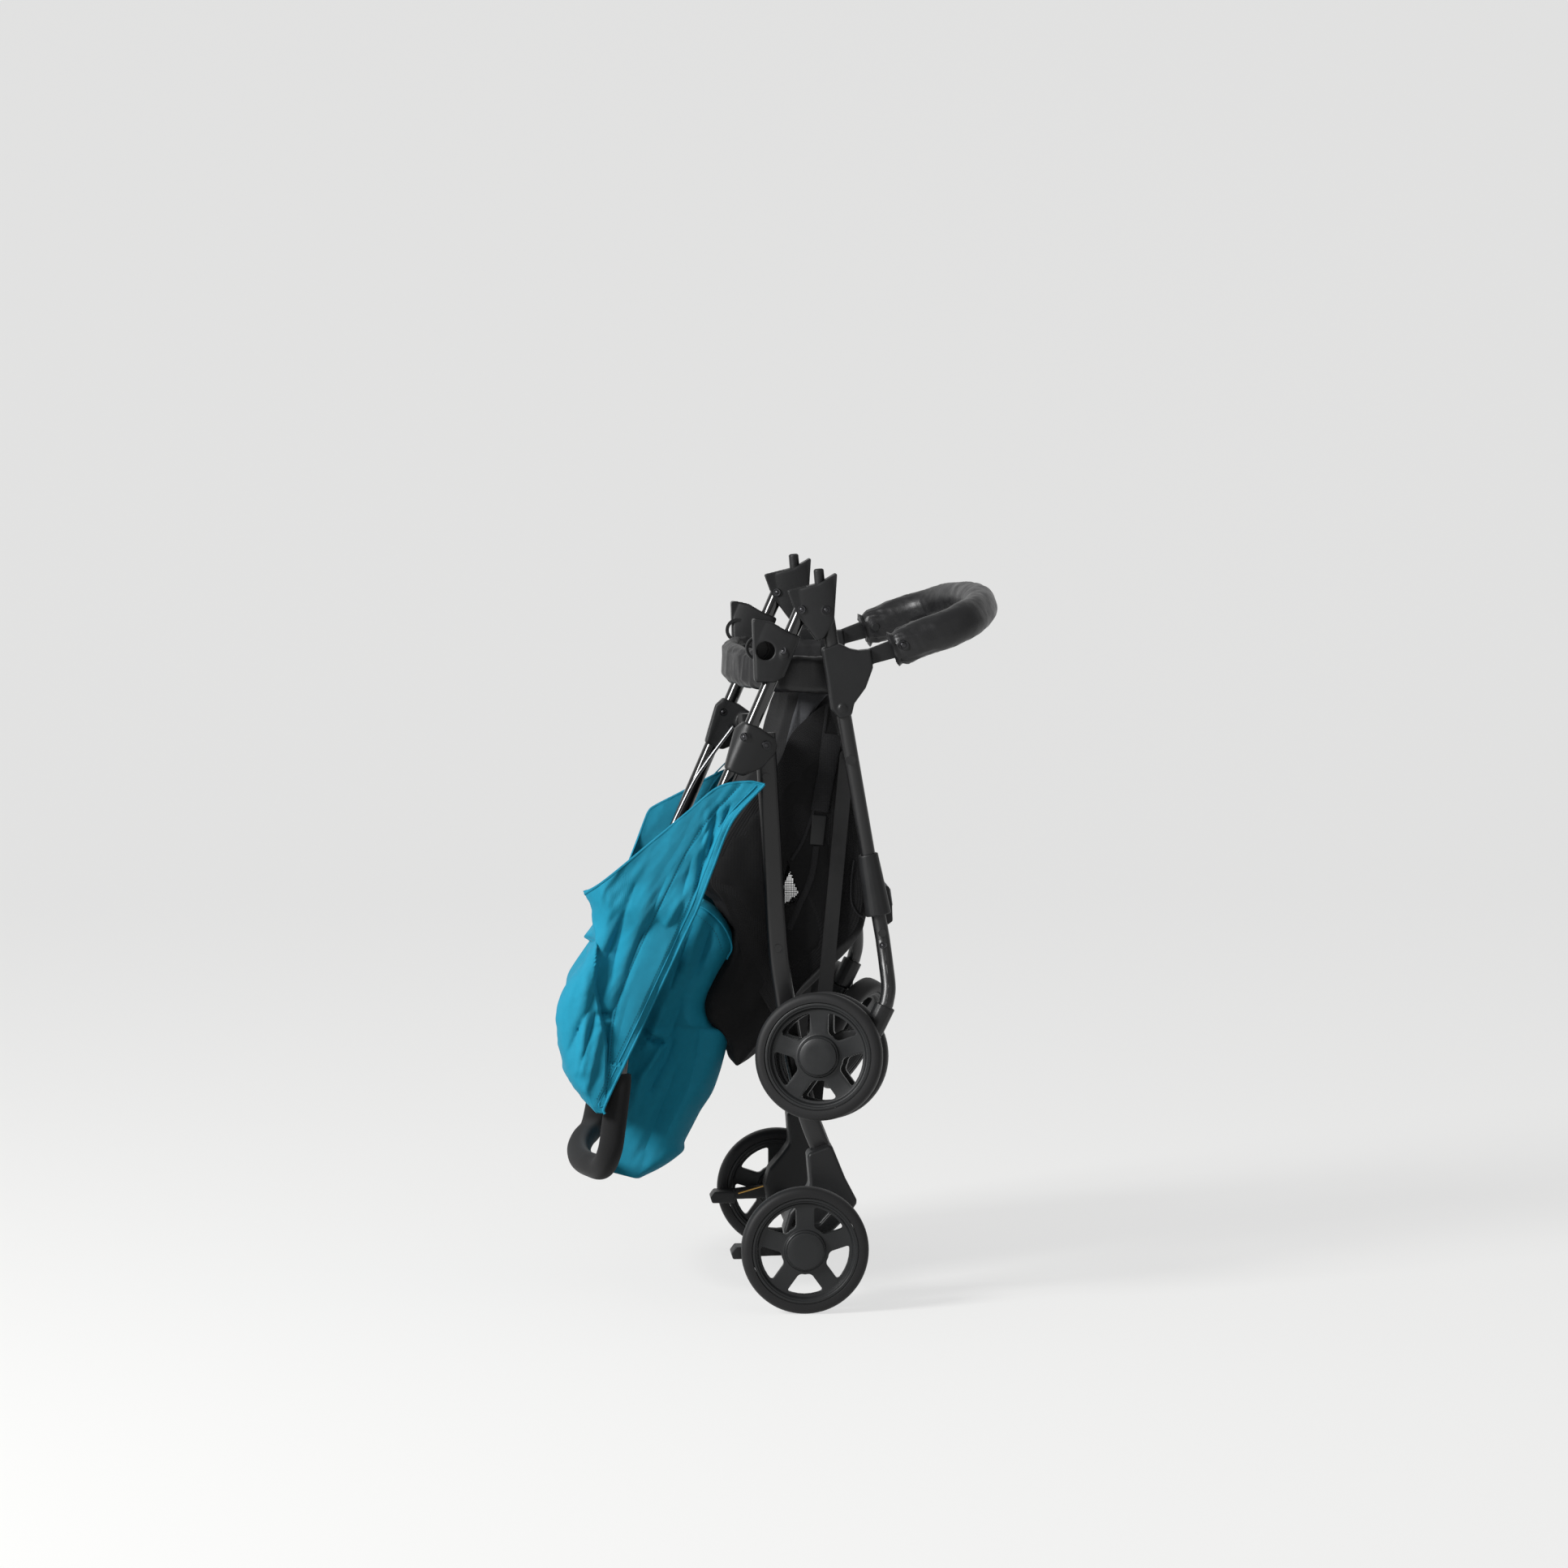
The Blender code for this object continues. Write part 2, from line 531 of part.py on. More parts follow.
def front_leg(side, label, carrier):
    head, down, _ = caster_frame(side)
    top = leg_point(FOLD_PIVOT[1] - LEG_TOP_DROP)
    straight = leg_point(LEG_STRAIGHT_END)
    foot = head - down * LEG_SEAT_RISE
    rise = head - down * LEG_BEND_RISE
    bend = [(*straight, FRAME_HALF), *LEG_BEND]
    points = [Vector((x, side * y, z)) for x, z, y in bend]
    path = [Vector((top[0], side * FRAME_HALF, top[1])), *smooth_path([*points, rise], 2), foot]
    leg = piece(f"front_leg_{label}", sweep(path, circle(TUBE_R, TUBE_SIDES)), "satin_tube", carrier)
    outer = FRAME_HALF + TUBE_R + RIVET_RISE
    inner = LINK_HALF + LINK_THIN + GAP
    join(leg, cross_rod(LINK_PIVOT, inner, outer, side, RIVET_R + 0.001))
    join(leg, cross_rod(LINK_PIVOT, LINK_HALF - LINK_THIN - RIVET_RISE - GAP, inner + 0.004, side, STUD_R))
    head_inner = LINK_HALF - LINK_THIN - RIVET_RISE - GAP
    join(leg, cross_rod(LINK_PIVOT, head_inner - 0.001, LINK_HALF - LINK_THIN - GAP, side, STUD_R + 0.002))
    join(leg, cross_rod(leg_point(LEG_PIN_LEVEL), FRAME_HALF, outer, side, RIVET_R))


def hinge_cup(side, label, carrier):
    """Moulded cup on the front leg, open at the back for the handle tube to turn in."""
    outline = [from_pivot(p) for p in CUP_OUTLINE]
    inner, outer = FRAME_HALF - CUP_HALF, FRAME_HALF + CUP_HALF
    cup = piece(f"hinge_cup_{label}", prism(outline, inner, outer, side), "moulding", carrier)
    round_edges(cup, 0.0012)
    low, high = FRAME_HALF - TUBE_R - RUNNING_GAP, FRAME_HALF + TUBE_R + RUNNING_GAP
    cut(cup, cross_rod(FOLD_PIVOT, low, high, side, CUP_CHANNEL_R, 20))
    cut(cup, prism([from_pivot(p) for p in CUP_BACK], low, high, side))
    bore_top = leg_point(FOLD_PIVOT[1] - LEG_TOP_DROP + GAP)
    bore_foot = leg_point(FOLD_PIVOT[1] - CUP_BORE)
    cut(cup, sweep(in_plane((bore_top, bore_foot), side * FRAME_HALF), circle(TUBE_R + BORE_FIT, TUBE_SIDES)))
    pin_foot, pin_top = from_pivot(LOCK_PIN_FOOT), from_pivot(LOCK_PIN_TOP)
    cut(cup, sweep(in_plane((pin_foot, pin_top), side * FRAME_HALF), circle(LOCK_PIN_R + GAP, 12)))
    join(cup, cross_rod(FOLD_PIVOT, inner - RIVET_RISE, outer + RIVET_RISE, side, PIN_R))
    join(cup, cross_rod(FOLD_PIVOT, outer - 0.001, outer + RIVET_RISE, side, RIVET_R))
    join(cup, cross_rod(leg_point(FOLD_PIVOT[1]), outer - 0.001, outer + RIVET_RISE, side, RIVET_R))


def lock_pin(side, label, carrier):
    foot, top = from_pivot(LOCK_PIN_FOOT), from_pivot(LOCK_PIN_TOP)
    axis = (Vector((top[0], 0.0, top[1])) - Vector((foot[0], 0.0, foot[1]))).normalized()
    start = Vector((foot[0], side * FRAME_HALF, foot[1])) + axis * GAP
    end = Vector((top[0], side * FRAME_HALF, top[1]))
    pin = piece(f"lock_pin_{label}", sweep([start, end], circle(LOCK_PIN_R, 12)), "moulding", carrier)
    round_edges(pin, 0.0015, 1, 60.0)


def lock_collar(side, label, carrier):
    """Sliding shell on the handle tube, open towards the hinge cup."""
    outline = [from_pivot(p) for p in COLLAR_OUTLINE]
    inner, outer = FRAME_HALF - COLLAR_HALF, FRAME_HALF + COLLAR_HALF
    collar = piece(f"lock_collar_{label}", prism(outline, inner, outer, side), "moulding", carrier)
    round_edges(collar, 0.0020)
    tube_down = Vector((-math.sin(HANDLE_LEAN), -math.cos(HANDLE_LEAN)))
    ahead = Vector((math.cos(HANDLE_LEAN), -math.sin(HANDLE_LEAN)))
    mouth = Vector(from_pivot((0.0, 0.0)))
    wide = COLLAR_MOUTH + RUNNING_GAP
    hollow = [mouth + ahead * wide + tube_down * 0.005, mouth + ahead * wide + tube_down * COLLAR_DEPTH,
              *[Vector(from_pivot(p)) for p in COLLAR_BACK]]
    cut(collar, prism([tuple(p) for p in hollow], inner + SHELL, outer - SHELL, side))
    tube = in_plane((handle_point(FOLD_PIVOT[1]), handle_point(FOLD_PIVOT[1] - COLLAR_BORE)), side * FRAME_HALF)
    cut(collar, sweep(tube, circle(TUBE_R + RUNNING_GAP, TUBE_SIDES)))
    cut(collar, cross_rod(from_pivot(COLLAR_HOLE), FRAME_HALF + 0.004, outer + 0.004, side, COLLAR_HOLE_R, 20))
    join(collar, cross_rod(from_pivot(COLLAR_RIVET), outer - 0.0015, outer + RIVET_RISE, side, RIVET_R))


def pivot_bracket(side, label, carrier):
    """Moulding round the handle tube that carries the rear leg's pivot pin and the canopy bow."""
    inner, outer = FRAME_HALF - BRACKET_HALF, FRAME_HALF + BRACKET_HALF
    bracket = piece(f"pivot_bracket_{label}", prism(BRACKET_OUTLINE, inner, outer, side), "moulding", carrier)
    round_edges(bracket, 0.0015)
    boss_end = REAR_LEG_HALF + REAR_LEG_THIN + GAP
    join(bracket, cross_rod(REAR_PIVOT, boss_end, inner + 0.004, side, PIVOT_BOSS_R, 12))
    leg_inside = REAR_LEG_HALF - REAR_LEG_THIN - GAP
    join(bracket, cross_rod(REAR_PIVOT, leg_inside - 0.001, boss_end + 0.004, side, PIN_R))
    join(bracket, cross_rod(REAR_PIVOT, leg_inside - RIVET_RISE, leg_inside, side, RIVET_R + 0.001))
    for point in (BRACKET_RIVET, REAR_PIVOT):
        join(bracket, cross_rod(point, outer - 0.0015, outer + RIVET_RISE, side, RIVET_R))
    tube = in_plane((handle_point(FOLD_PIVOT[1]), handle_point(0.520)), side * FRAME_HALF)
    cut(bracket, sweep(tube, circle(TUBE_R + BORE_FIT, TUBE_SIDES)))
    cut(bracket, cross_rod(BOW_PIVOT, inner - 0.003, inner + 0.009, side, BOW_R + RUNNING_GAP, 10))


def handle(carrier):
    """Two side tubes, the bar between their ends and its foam sleeve."""
    for label, side in SIDES:
        tube = piece(f"handle_tube_{label}", sweep(handle_line(side), circle(TUBE_R, TUBE_SIDES)), "gloss_tube",
                     carrier)
        cut(tube, cross_rod(FOLD_PIVOT, FRAME_HALF - 0.012, FRAME_HALF + 0.012, side, PIN_R + RUNNING_GAP))
    bar = grip_line(HANDLE_TUBE_FOOT - GAP)
    piece("handle_bar", sweep(bar, circle(TUBE_R, TUBE_SIDES)), "gloss_tube", carrier)
    sleeve = grip_line(HANDLE_TUBE_FOOT + GRIP_OVERLAP)
    bore = circle(TUBE_R + BORE_FIT, TUBE_SIDES)
    piece("foam_grip", sweep(sleeve, circle(GRIP_R, TUBE_SIDES), bore), "foam", carrier)


def bumper_plate(side, label, carrier):
    """Clamp on the front leg with a tongue for the bumper bar and a boss for the rear hoop."""
    inner, outer = FRAME_HALF - PLATE_HALF, FRAME_HALF + PLATE_HALF
    plate = piece(f"bumper_bracket_{label}", prism(PLATE_OUTLINE, inner, outer, side), "moulding", carrier)
    round_edges(plate, 0.0015)
    bolt = Vector(BUMPER_BOLT)
    tongue = [bolt + TONGUE_R * Vector((math.cos(math.radians(a)), math.sin(math.radians(a))))
              for a in range(-90, 101, 19)]
    tongue = [*[(p.x, p.y) for p in tongue], *TONGUE_ROOT]
    join(plate, prism(tongue, FRAME_HALF - TONGUE_HALF, FRAME_HALF + TONGUE_HALF, side))
    reach = BUMPER_R + GAP
    join(plate, cross_rod(BUMPER_BOLT, FRAME_HALF - reach - 0.001, FRAME_HALF + reach + 0.001, side, PIN_R))
    for direction in (-1.0, 1.0):
        near = FRAME_HALF + direction * reach
        far = FRAME_HALF + direction * (reach + RIVET_RISE)
        join(plate, cross_rod(BUMPER_BOLT, min(near, far), max(near, far), side, RIVET_R + 0.001))
    hoop_side = HOOP_HALF + HOOP_R
    join(plate, cross_rod((HOOP_BOLT_X, HOOP_LEVEL), hoop_side + GAP, inner + 0.004, side, HOOP_BOSS_R))
    join(plate, cross_rod(PLATE_RIVET, outer - 0.0015, outer + RIVET_RISE, side, RIVET_R))
    leg = in_plane((leg_point(0.760), leg_point(0.620)), side * FRAME_HALF)
    cut(plate, sweep(leg, circle(TUBE_R + BORE_FIT, TUBE_SIDES)))


def bumper_bar(carrier):
    path = [Vector(p) for p in both_sides(widened(BUMPER_LINE, FRAME_HALF), BUMPER_MIDDLE)]
    bar = piece("bumper_bar", sweep(path, circle(BUMPER_R, 10)), "vinyl", carrier)
    for _, side in SIDES:
        slot = [(BUMPER_BOLT[0] + x, BUMPER_BOLT[1] + z) for x, z in BUMPER_SLOT]
        wide = TONGUE_HALF + TONGUE_FIT
        cut(bar, prism(slot, FRAME_HALF - wide, FRAME_HALF + wide, side))
        reach = BUMPER_R + 0.004
        hole = cross_rod(BUMPER_BOLT, FRAME_HALF - reach, FRAME_HALF + reach, side, PIN_R + RUNNING_GAP)
        cut(bar, hole)


def rear_hoop(carrier):
    path = [Vector(p) for p in both_sides(widened(HOOP_LINE, HOOP_HALF), HOOP_MIDDLE)]
    piece("rear_hoop", sweep(path, circle(HOOP_R, 10)), "vinyl", carrier)


def footrest(carrier):
    for label, side in SIDES:
        line = in_plane((leg_point(SLEEVE_TOP), leg_point(SLEEVE_FOOT)), side * FRAME_HALF)
        outer, bore = circle(SLEEVE_TOP_R, 16), circle(TUBE_R + BORE_FIT, 16)
        sleeve = sweep(line, outer, bore, growth=SLEEVE_FOOT_R / SLEEVE_TOP_R)
        holder = piece(f"footrest_sleeve_{label}", sleeve, "moulding", carrier)
        join(holder, prism(CHEEK_OUTLINE, TREAD_HALF + GAP, FRAME_HALF - TUBE_R - 3 * GAP, side))
    bar = cross_rod(FOOT_BAR, -TREAD_HALF, TREAD_HALF, 1.0, FOOT_BAR_R, 10)
    piece("footrest_bar", bar, "satin_tube", carrier)
    tread = piece("footrest_tread", prism(TREAD_OUTLINE, -TREAD_HALF, TREAD_HALF), "grey_tread", carrier)
    round_edges(tread, 0.0010)


def rear_leg(side, label, carrier):
    path = in_plane(REAR_LEG_LINE, side * REAR_LEG_HALF)
    leg = piece(f"rear_leg_{label}", sweep(path, obround(REAR_LEG_WIDE, REAR_LEG_THIN)), "satin_tube", carrier)
    low, high = REAR_LEG_HALF - REAR_LEG_THIN, REAR_LEG_HALF + REAR_LEG_THIN
    cut(leg, cross_rod(REAR_PIVOT, low - 0.004, high + 0.004, side, PIN_R + RUNNING_GAP))
    for point in REAR_LEG_RIVETS:
        join(leg, cross_rod(point, high - 0.002, high + RIVET_RISE, side, RIVET_R))


def rear_foot(side, label, carrier):
    """Moulded foot: it grips the leg and holds the axle."""
    foot = piece(f"rear_foot_{label}", prism(FOOT_OUTLINE, FOOT_INNER, FOOT_OUTER, side), "moulding", carrier)
    round_edges(foot, 0.0025, 1)
    join(foot, cross_rod((0.0, WHEEL_R), FOOT_INNER, LEVER_INNER - FOOT_BOSS_GAP, side, FOOT_BOSS_R, 12))
    cut(foot, prism(FOOT_POCKET, FOOT_OUTER - FOOT_POCKET_DEPTH, FOOT_OUTER + 0.004, side))
    spread = obround(REAR_LEG_WIDE + BORE_FIT, REAR_LEG_THIN + BORE_FIT)
    path = in_plane(REAR_LEG_LINE, side * REAR_LEG_HALF)
    path[-1] += (path[-1] - path[-2]).normalized() * GAP
    cut(foot, sweep(path, spread))
    cut(foot, cross_rod((0.0, WHEEL_R), FOOT_INNER - 0.004, LEVER_INNER, side, AXLE_R + GAP))


def rear_axle(carrier):
    """Steel axle with a thicker black tube over its middle."""
    tube_half = FOOT_INNER - GAP
    end = REAR_WHEEL_HALF + HUB_HALF + AXLE_END
    profile = [(AXLE_R, -end), (AXLE_R, -tube_half), (AXLE_TUBE_R, -tube_half), (AXLE_TUBE_R, tube_half),
               (AXLE_R, tube_half), (AXLE_R, end), (0.0005, end), (0.0005, -end)]
    axle = turned(profile, 12)
    core = [v for v in axle.verts if math.hypot(v.co.x, v.co.z) < 0.0006]
    bmesh.ops.remove_doubles(axle, verts=core, dist=0.0012)
    piece("rear_axle", moved(axle, (0.0, 0.0, WHEEL_R)), "satin_tube", carrier)


def brake_lever(side, label, carrier):
    boss = cross_rod((0.0, WHEEL_R), LEVER_INNER, LEVER_OUTER, side, LEVER_BOSS_R, 12)
    lever = piece(f"brake_lever_{label}", boss, "moulding", carrier)
    tip_x, tip_z = LEVER_TIP
    arm = [(-0.004, WHEEL_R + 0.0080), (tip_x, tip_z + 0.0055), (tip_x - 0.002, tip_z - 0.0040),
           (-0.004, WHEEL_R - 0.0090)]
    join(lever, prism(arm, LEVER_INNER + 0.002, LEVER_OUTER - 0.004, side))
    pedal = [(tip_x + PEDAL_LENGTH, tip_z + 0.0075), (tip_x, tip_z + 0.0075), (tip_x - 0.005, tip_z + 0.001),
             (tip_x - 0.003, tip_z - 0.0060), (tip_x + PEDAL_LENGTH, tip_z - 0.0060)]
    join(lever, prism(pedal, LEVER_INNER - 0.012, LEVER_OUTER, side))
    cut(lever, cross_rod((0.0, WHEEL_R), LEVER_INNER - 0.004, LEVER_OUTER + 0.004, side, AXLE_R + RUNNING_GAP))


def brake_spring(side, label, carrier):
    """Torsion spring round the axle, with a long leg that lies along the lever."""
    path = []
    for k in range(SPRING_TURNS * SPRING_SIDES + 1):
        angle = math.pi / 2 + 2 * math.pi * k / SPRING_SIDES
        y = LEVER_INNER - SPRING_START + SPRING_PITCH * k / SPRING_SIDES
        path.append(Vector((SPRING_R * math.cos(angle), side * y, WHEEL_R + SPRING_R * math.sin(angle))))
    last = path[-1]
    path.append(Vector((-0.014, last.y, WHEEL_R + SPRING_R)))
    path.append(Vector((LEVER_TIP[0] + PEDAL_LENGTH + 0.004, last.y, LEVER_TIP[1] + 0.004)))
    spring = sweep(path, circle(SPRING_WIRE, 4))
    piece(f"brake_spring_{label}", spring, "spring_steel", carrier)
    turn = SPRING_SIDES
    least = min((a - b).length for i, a in enumerate(path) for b in path[i + turn - 1:i + turn + 2])
    print(f"brake spring {label}: least gap between turns {1000 * (least - 2 * SPRING_WIRE):.2f} mm")


def side_link(side, label, carrier):
    """Flat bar from the front leg to the rear leg, which ties the fold together."""
    top, foot = Vector(LINK_PIVOT), Vector(LINK_END)
    along = (foot - top).normalized()
    across = Vector((-along.y, along.x))
    outline = []
    for centre, sense in ((top, 1.0), (foot, -1.0)):
        for k in range(9):
            angle = math.pi * k / 8
            point = centre + sense * LINK_WIDE * (across * math.cos(angle) - along * math.sin(angle))
            outline.append((point.x, point.y))
    inner, outer = LINK_HALF - LINK_THIN, LINK_HALF + LINK_THIN
    link = piece(f"side_link_{label}", prism(outline, inner, outer, side), "satin_tube", carrier)
    cut(link, cross_rod(LINK_PIVOT, inner - 0.004, outer + 0.004, side, STUD_R + RUNNING_GAP))
    cut(link, cross_rod(LINK_END, inner - 0.004, outer + 0.004, side, PIN_R + RUNNING_GAP))


def canopy_bow(carrier):
    half = [(*BOW_PIVOT, BOW_HALF + BOW_SEAT), *widened(BOW_ELBOW, BOW_HALF), *widened(BOW_LINE, BOW_HALF)]
    path = [Vector(p) for p in both_sides(half, BOW_MIDDLE)]
    piece("canopy_bow", sweep(path, circle(BOW_R, 6), hint=(1.0, 0.0, 0.0)), "steel", carrier)


def even_path(line, count):
    """Points at even steps of length along the smooth curve through side-plane points."""
    fine = smooth_path([(x, 0.0, z) for x, z in line], 12)
    lengths = [0.0]
    for a, b in zip(fine, fine[1:]):
        lengths.append(lengths[-1] + (b - a).length)
    found = []
    k = 0
    for step in range(count + 1):
        goal = lengths[-1] * step / count
        while k < len(fine) - 2 and lengths[k + 1] < goal:
            k += 1
        share = (goal - lengths[k]) / (lengths[k + 1] - lengths[k])
        found.append(fine[k].lerp(fine[k + 1], share))
    return found


def side_patch(open_edge, closed_edge, hem=None):
    """One side of a sheet: gives its point at a share of its run and at a row, with its top row on the hem."""
    starts, ends = even_path(open_edge, SHEET_ROWS), even_path(closed_edge, SHEET_ROWS)
    top = even_path(hem, 50) if hem else None

    def point(share, row):
        found = starts[row].lerp(ends[row], share)
        if top:
            straight = starts[0].lerp(ends[0], share)
            found += (top[round(50 * share)] - straight) * (1.0 - row / SHEET_ROWS) ** 3
        return found

    return point


def sheet_columns(half, corner):
    """For one half of a sheet: share of the side, distance from the middle, share of the closed end."""
    columns = [(CORNER_START * k / SIDE_STEPS, half, 0.0) for k in range(SIDE_STEPS)]
    for k in range(CORNER_STEPS + 1):
        angle = math.pi / 2 * k / CORNER_STEPS
        share = CORNER_START + (1.0 - CORNER_START) * math.sin(angle)
        columns.append((share, half - corner * (1.0 - math.cos(angle)), 0.0))
    for k in range(1, END_STEPS + 1):
        columns.append((1.0, (half - corner) * (1.0 - k / END_STEPS), k / END_STEPS))
    return columns


def folded_sheet(right, left, half, corner, sag):
    """An open sheet: along its right side, round its closed end and back along its left side."""
    columns = sheet_columns(half, corner)
    places = [(share, -y, 0.5 * turned, turned) for share, y, turned in columns]
    places += [(share, y, 1.0 - 0.5 * turned, turned) for share, y, turned in reversed(columns[:-1])]
    bm = bmesh.new()
    grid = []
    for row in range(SHEET_ROWS + 1):
        line = []
        for share, y, weight, turned in places:
            point = right(share, row).lerp(left(share, row), weight)
            line.append(bm.verts.new((point.x + sag * math.sin(math.pi / 2 * turned), y, point.z)))
        grid.append(line)
    for upper, lower in zip(grid, grid[1:]):
        for k in range(len(upper) - 1):
            bm.faces.new((upper[k], upper[k + 1], lower[k + 1], lower[k]))
    return bm


def thicken(obj):
    modifier = obj.modifiers.new("cloth_thickness", "SOLIDIFY")
    modifier.thickness = CLOTH_THICK
    modifier.offset = 0.0


def canopy(carrier):
    """Folded hood: one sheet over both handle tubes, and the flap that sags between them."""
    near = side_patch(HOOD_EDGE, HOOD_BACK, HOOD_HEM)
    far = side_patch(HOOD_EDGE, FAR_BACK, FAR_HEM)
    bm = folded_sheet(near, far, HOOD_HALF, HOOD_CORNER, HOOD_SAG)
    thicken(piece("canopy", bm, "teal_cloth", carrier))
    flap = side_patch(FLAP_BACK, FLAP_FRONT)
    bm = folded_sheet(flap, flap, FLAP_HALF, FLAP_CORNER, -FLAP_SAG)
    thicken(piece("canopy_flap", bm, "teal_cloth", carrier))


def seat(carrier):
    cloth = piece("seat_fabric", prism(SEAT_OUTLINE, -SEAT_HALF, SEAT_HALF), "black_cloth", carrier)
    round_edges(cloth, SEAT_ROUND, 2, 50.0)
    cut(cloth, prism(SEAT_WINDOW, -SEAT_HALF - 0.02, SEAT_HALF + 0.02))


def wheel_rim(name, carrier, bore):
    """Rim with a dished web, five broad spokes and a lip on each side."""
    profile = [(bore, -HUB_HALF), (HUB_R, -HUB_HALF), (HUB_R + 0.003, -WEB_HALF), (RIM_LIP_R - 0.002, -WEB_HALF),
               (RIM_LIP_R, -RIM_HALF), (TYRE_SEAT_R, -RIM_HALF), (TYRE_SEAT_R, RIM_HALF), (RIM_LIP_R, RIM_HALF),
               (RIM_LIP_R - 0.002, WEB_HALF), (HUB_R + 0.003, WEB_HALF), (HUB_R, HUB_HALF), (bore, HUB_HALF)]
    rim = piece(name, moved(turned(profile, WHEEL_SEGMENTS), PIVOTS[carrier.name]), "moulding", carrier)
    windows = bmesh.new()
    for spoke in range(SPOKES):
        middle = math.pi + 2 * math.pi * (spoke + 0.5) / SPOKES
        outline = []
        half_angle = math.pi / SPOKES
        for radius, steps in ((WINDOW_OUTER_R, 3), (WINDOW_INNER_R, 1)):
            limit = half_angle - math.asin(SPOKE_HALF / radius)
            for k in range(steps + 1):
                t = 2 * k / steps - 1
                sense = 1.0 if radius == WINDOW_OUTER_R else -1.0
                angle = middle + sense * t * limit
                outline.append((radius * math.sin(angle), -radius * math.cos(angle)))
        face = windows.faces.new([windows.verts.new((x, -0.02, z)) for x, z in outline])
        walls = bmesh.ops.extrude_face_region(windows, geom=[face])
        ends = [item for item in walls["geom"] if isinstance(item, bmesh.types.BMVert)]
        bmesh.ops.translate(windows, vec=(0.0, 0.04, 0.0), verts=ends)
    cut(rim, moved(windows, PIVOTS[carrier.name]))


def wheel_tyre(name, carrier):
    """Smooth tyre with a flat tread; a facet of it lies flat on the floor."""
    flat = WHEEL_R / math.cos(math.pi / WHEEL_SEGMENTS)
    seat_r = TYRE_SEAT_R + GAP
    profile = [(seat_r, -TYRE_HALF + TYRE_ROUND), (TYRE_SIDE_R, -TYRE_HALF), (flat, -TYRE_TREAD_HALF),
               (flat, TYRE_TREAD_HALF), (TYRE_SIDE_R, TYRE_HALF), (seat_r, TYRE_HALF - TYRE_ROUND)]
    piece(name, moved(turned(profile, WHEEL_SEGMENTS), PIVOTS[carrier.name]), "tyre", carrier)


def hub_cap(name, carrier, side):
    start = HUB_HALF + GAP
    outline = circle(CAP_R, 16)
    place = PIVOTS[carrier.name]
    cap = piece(name, moved(prism(outline, start, start + CAP_THICK, side), place), "moulding", carrier)
    inside = place + Vector((0.0, side * (start + CAP_HOLLOW), 0.0))
    cut(cap, rod(place, inside, AXLE_R + 0.001))


def caster(side, label, carrier):
    """Fork with its stem and axle, turned about a leaning axis to where it hangs."""
    head, down, trail = caster_frame(side)

    def place(along, below):
        point = head + trail * along + down * below
        return (point.x, point.z)

    crown = SOCKET_DROP + RUNNING_GAP
    outline = [place(-0.011, crown), place(0.011, crown), *[place(*spot) for spot in FORK_SIDE]]
    low, high = CASTER_HALF - FORK_HALF, CASTER_HALF + FORK_HALF
    fork = piece(f"caster_fork_{label}", prism(outline, low, high, side), "moulding", carrier)
    round_edges(fork, 0.0015)
    join(fork, rod(head + down * STEM_DROP, head - down * STEM_RISE, STEM_R))
    reach = TWIN_HALF + HUB_HALF + AXLE_END
    hub = place(CASTER_TRAIL, CASTER_DROP)
    join(fork, cross_rod(hub, CASTER_HALF - reach, CASTER_HALF + reach, side, AXLE_R))


def caster_socket(side, label, carrier):
    head, down, _ = caster_frame(side)
    path = [head - down * SOCKET_RISE, head - down * (SOCKET_RISE - 0.008), head + down * SOCKET_DROP]
    socket = piece(f"caster_socket_{label}", sweep(path, circle(SOCKET_R, 12)), "moulding", carrier)
    leg_end = head - down * (LEG_SEAT_RISE - GAP)
    cut(socket, sweep([head - down * 0.060, leg_end], circle(TUBE_R + 0.0012, 10)))
    cut(socket, sweep([head - down * (STEM_RISE + 0.001), head + down * 0.020], circle(STEM_R + RUNNING_GAP, 8)))


def wheels(root, rear, casters):
    for label, side in SIDES:
        centre = (0.0, side * REAR_WHEEL_HALF, WHEEL_R)
        spin = joint_empty(f"rear_wheel_{label}_joint", centre, rear)
        wheel_tyre(f"rear_tyre_{label}", spin)
        wheel_rim(f"rear_rim_{label}", spin, AXLE_R + RUNNING_GAP)
        hub_cap(f"rear_hub_cap_{label}", spin, side)
        head, down, trail = caster_frame(side)
        hub = head + trail * CASTER_TRAIL + down * CASTER_DROP
        for place, shift in (("outer", TWIN_HALF), ("inner", -TWIN_HALF)):
            axle = hub + Vector((0.0, side * shift, 0.0))
            spin = joint_empty(f"front_{place}_wheel_{label}_joint", axle, casters[label])
            wheel_tyre(f"front_{place}_tyre_{label}", spin)
            wheel_rim(f"front_{place}_rim_{label}", spin, AXLE_R + RUNNING_GAP)
            if place == "outer":
                hub_cap(f"front_hub_cap_{label}", spin, side)


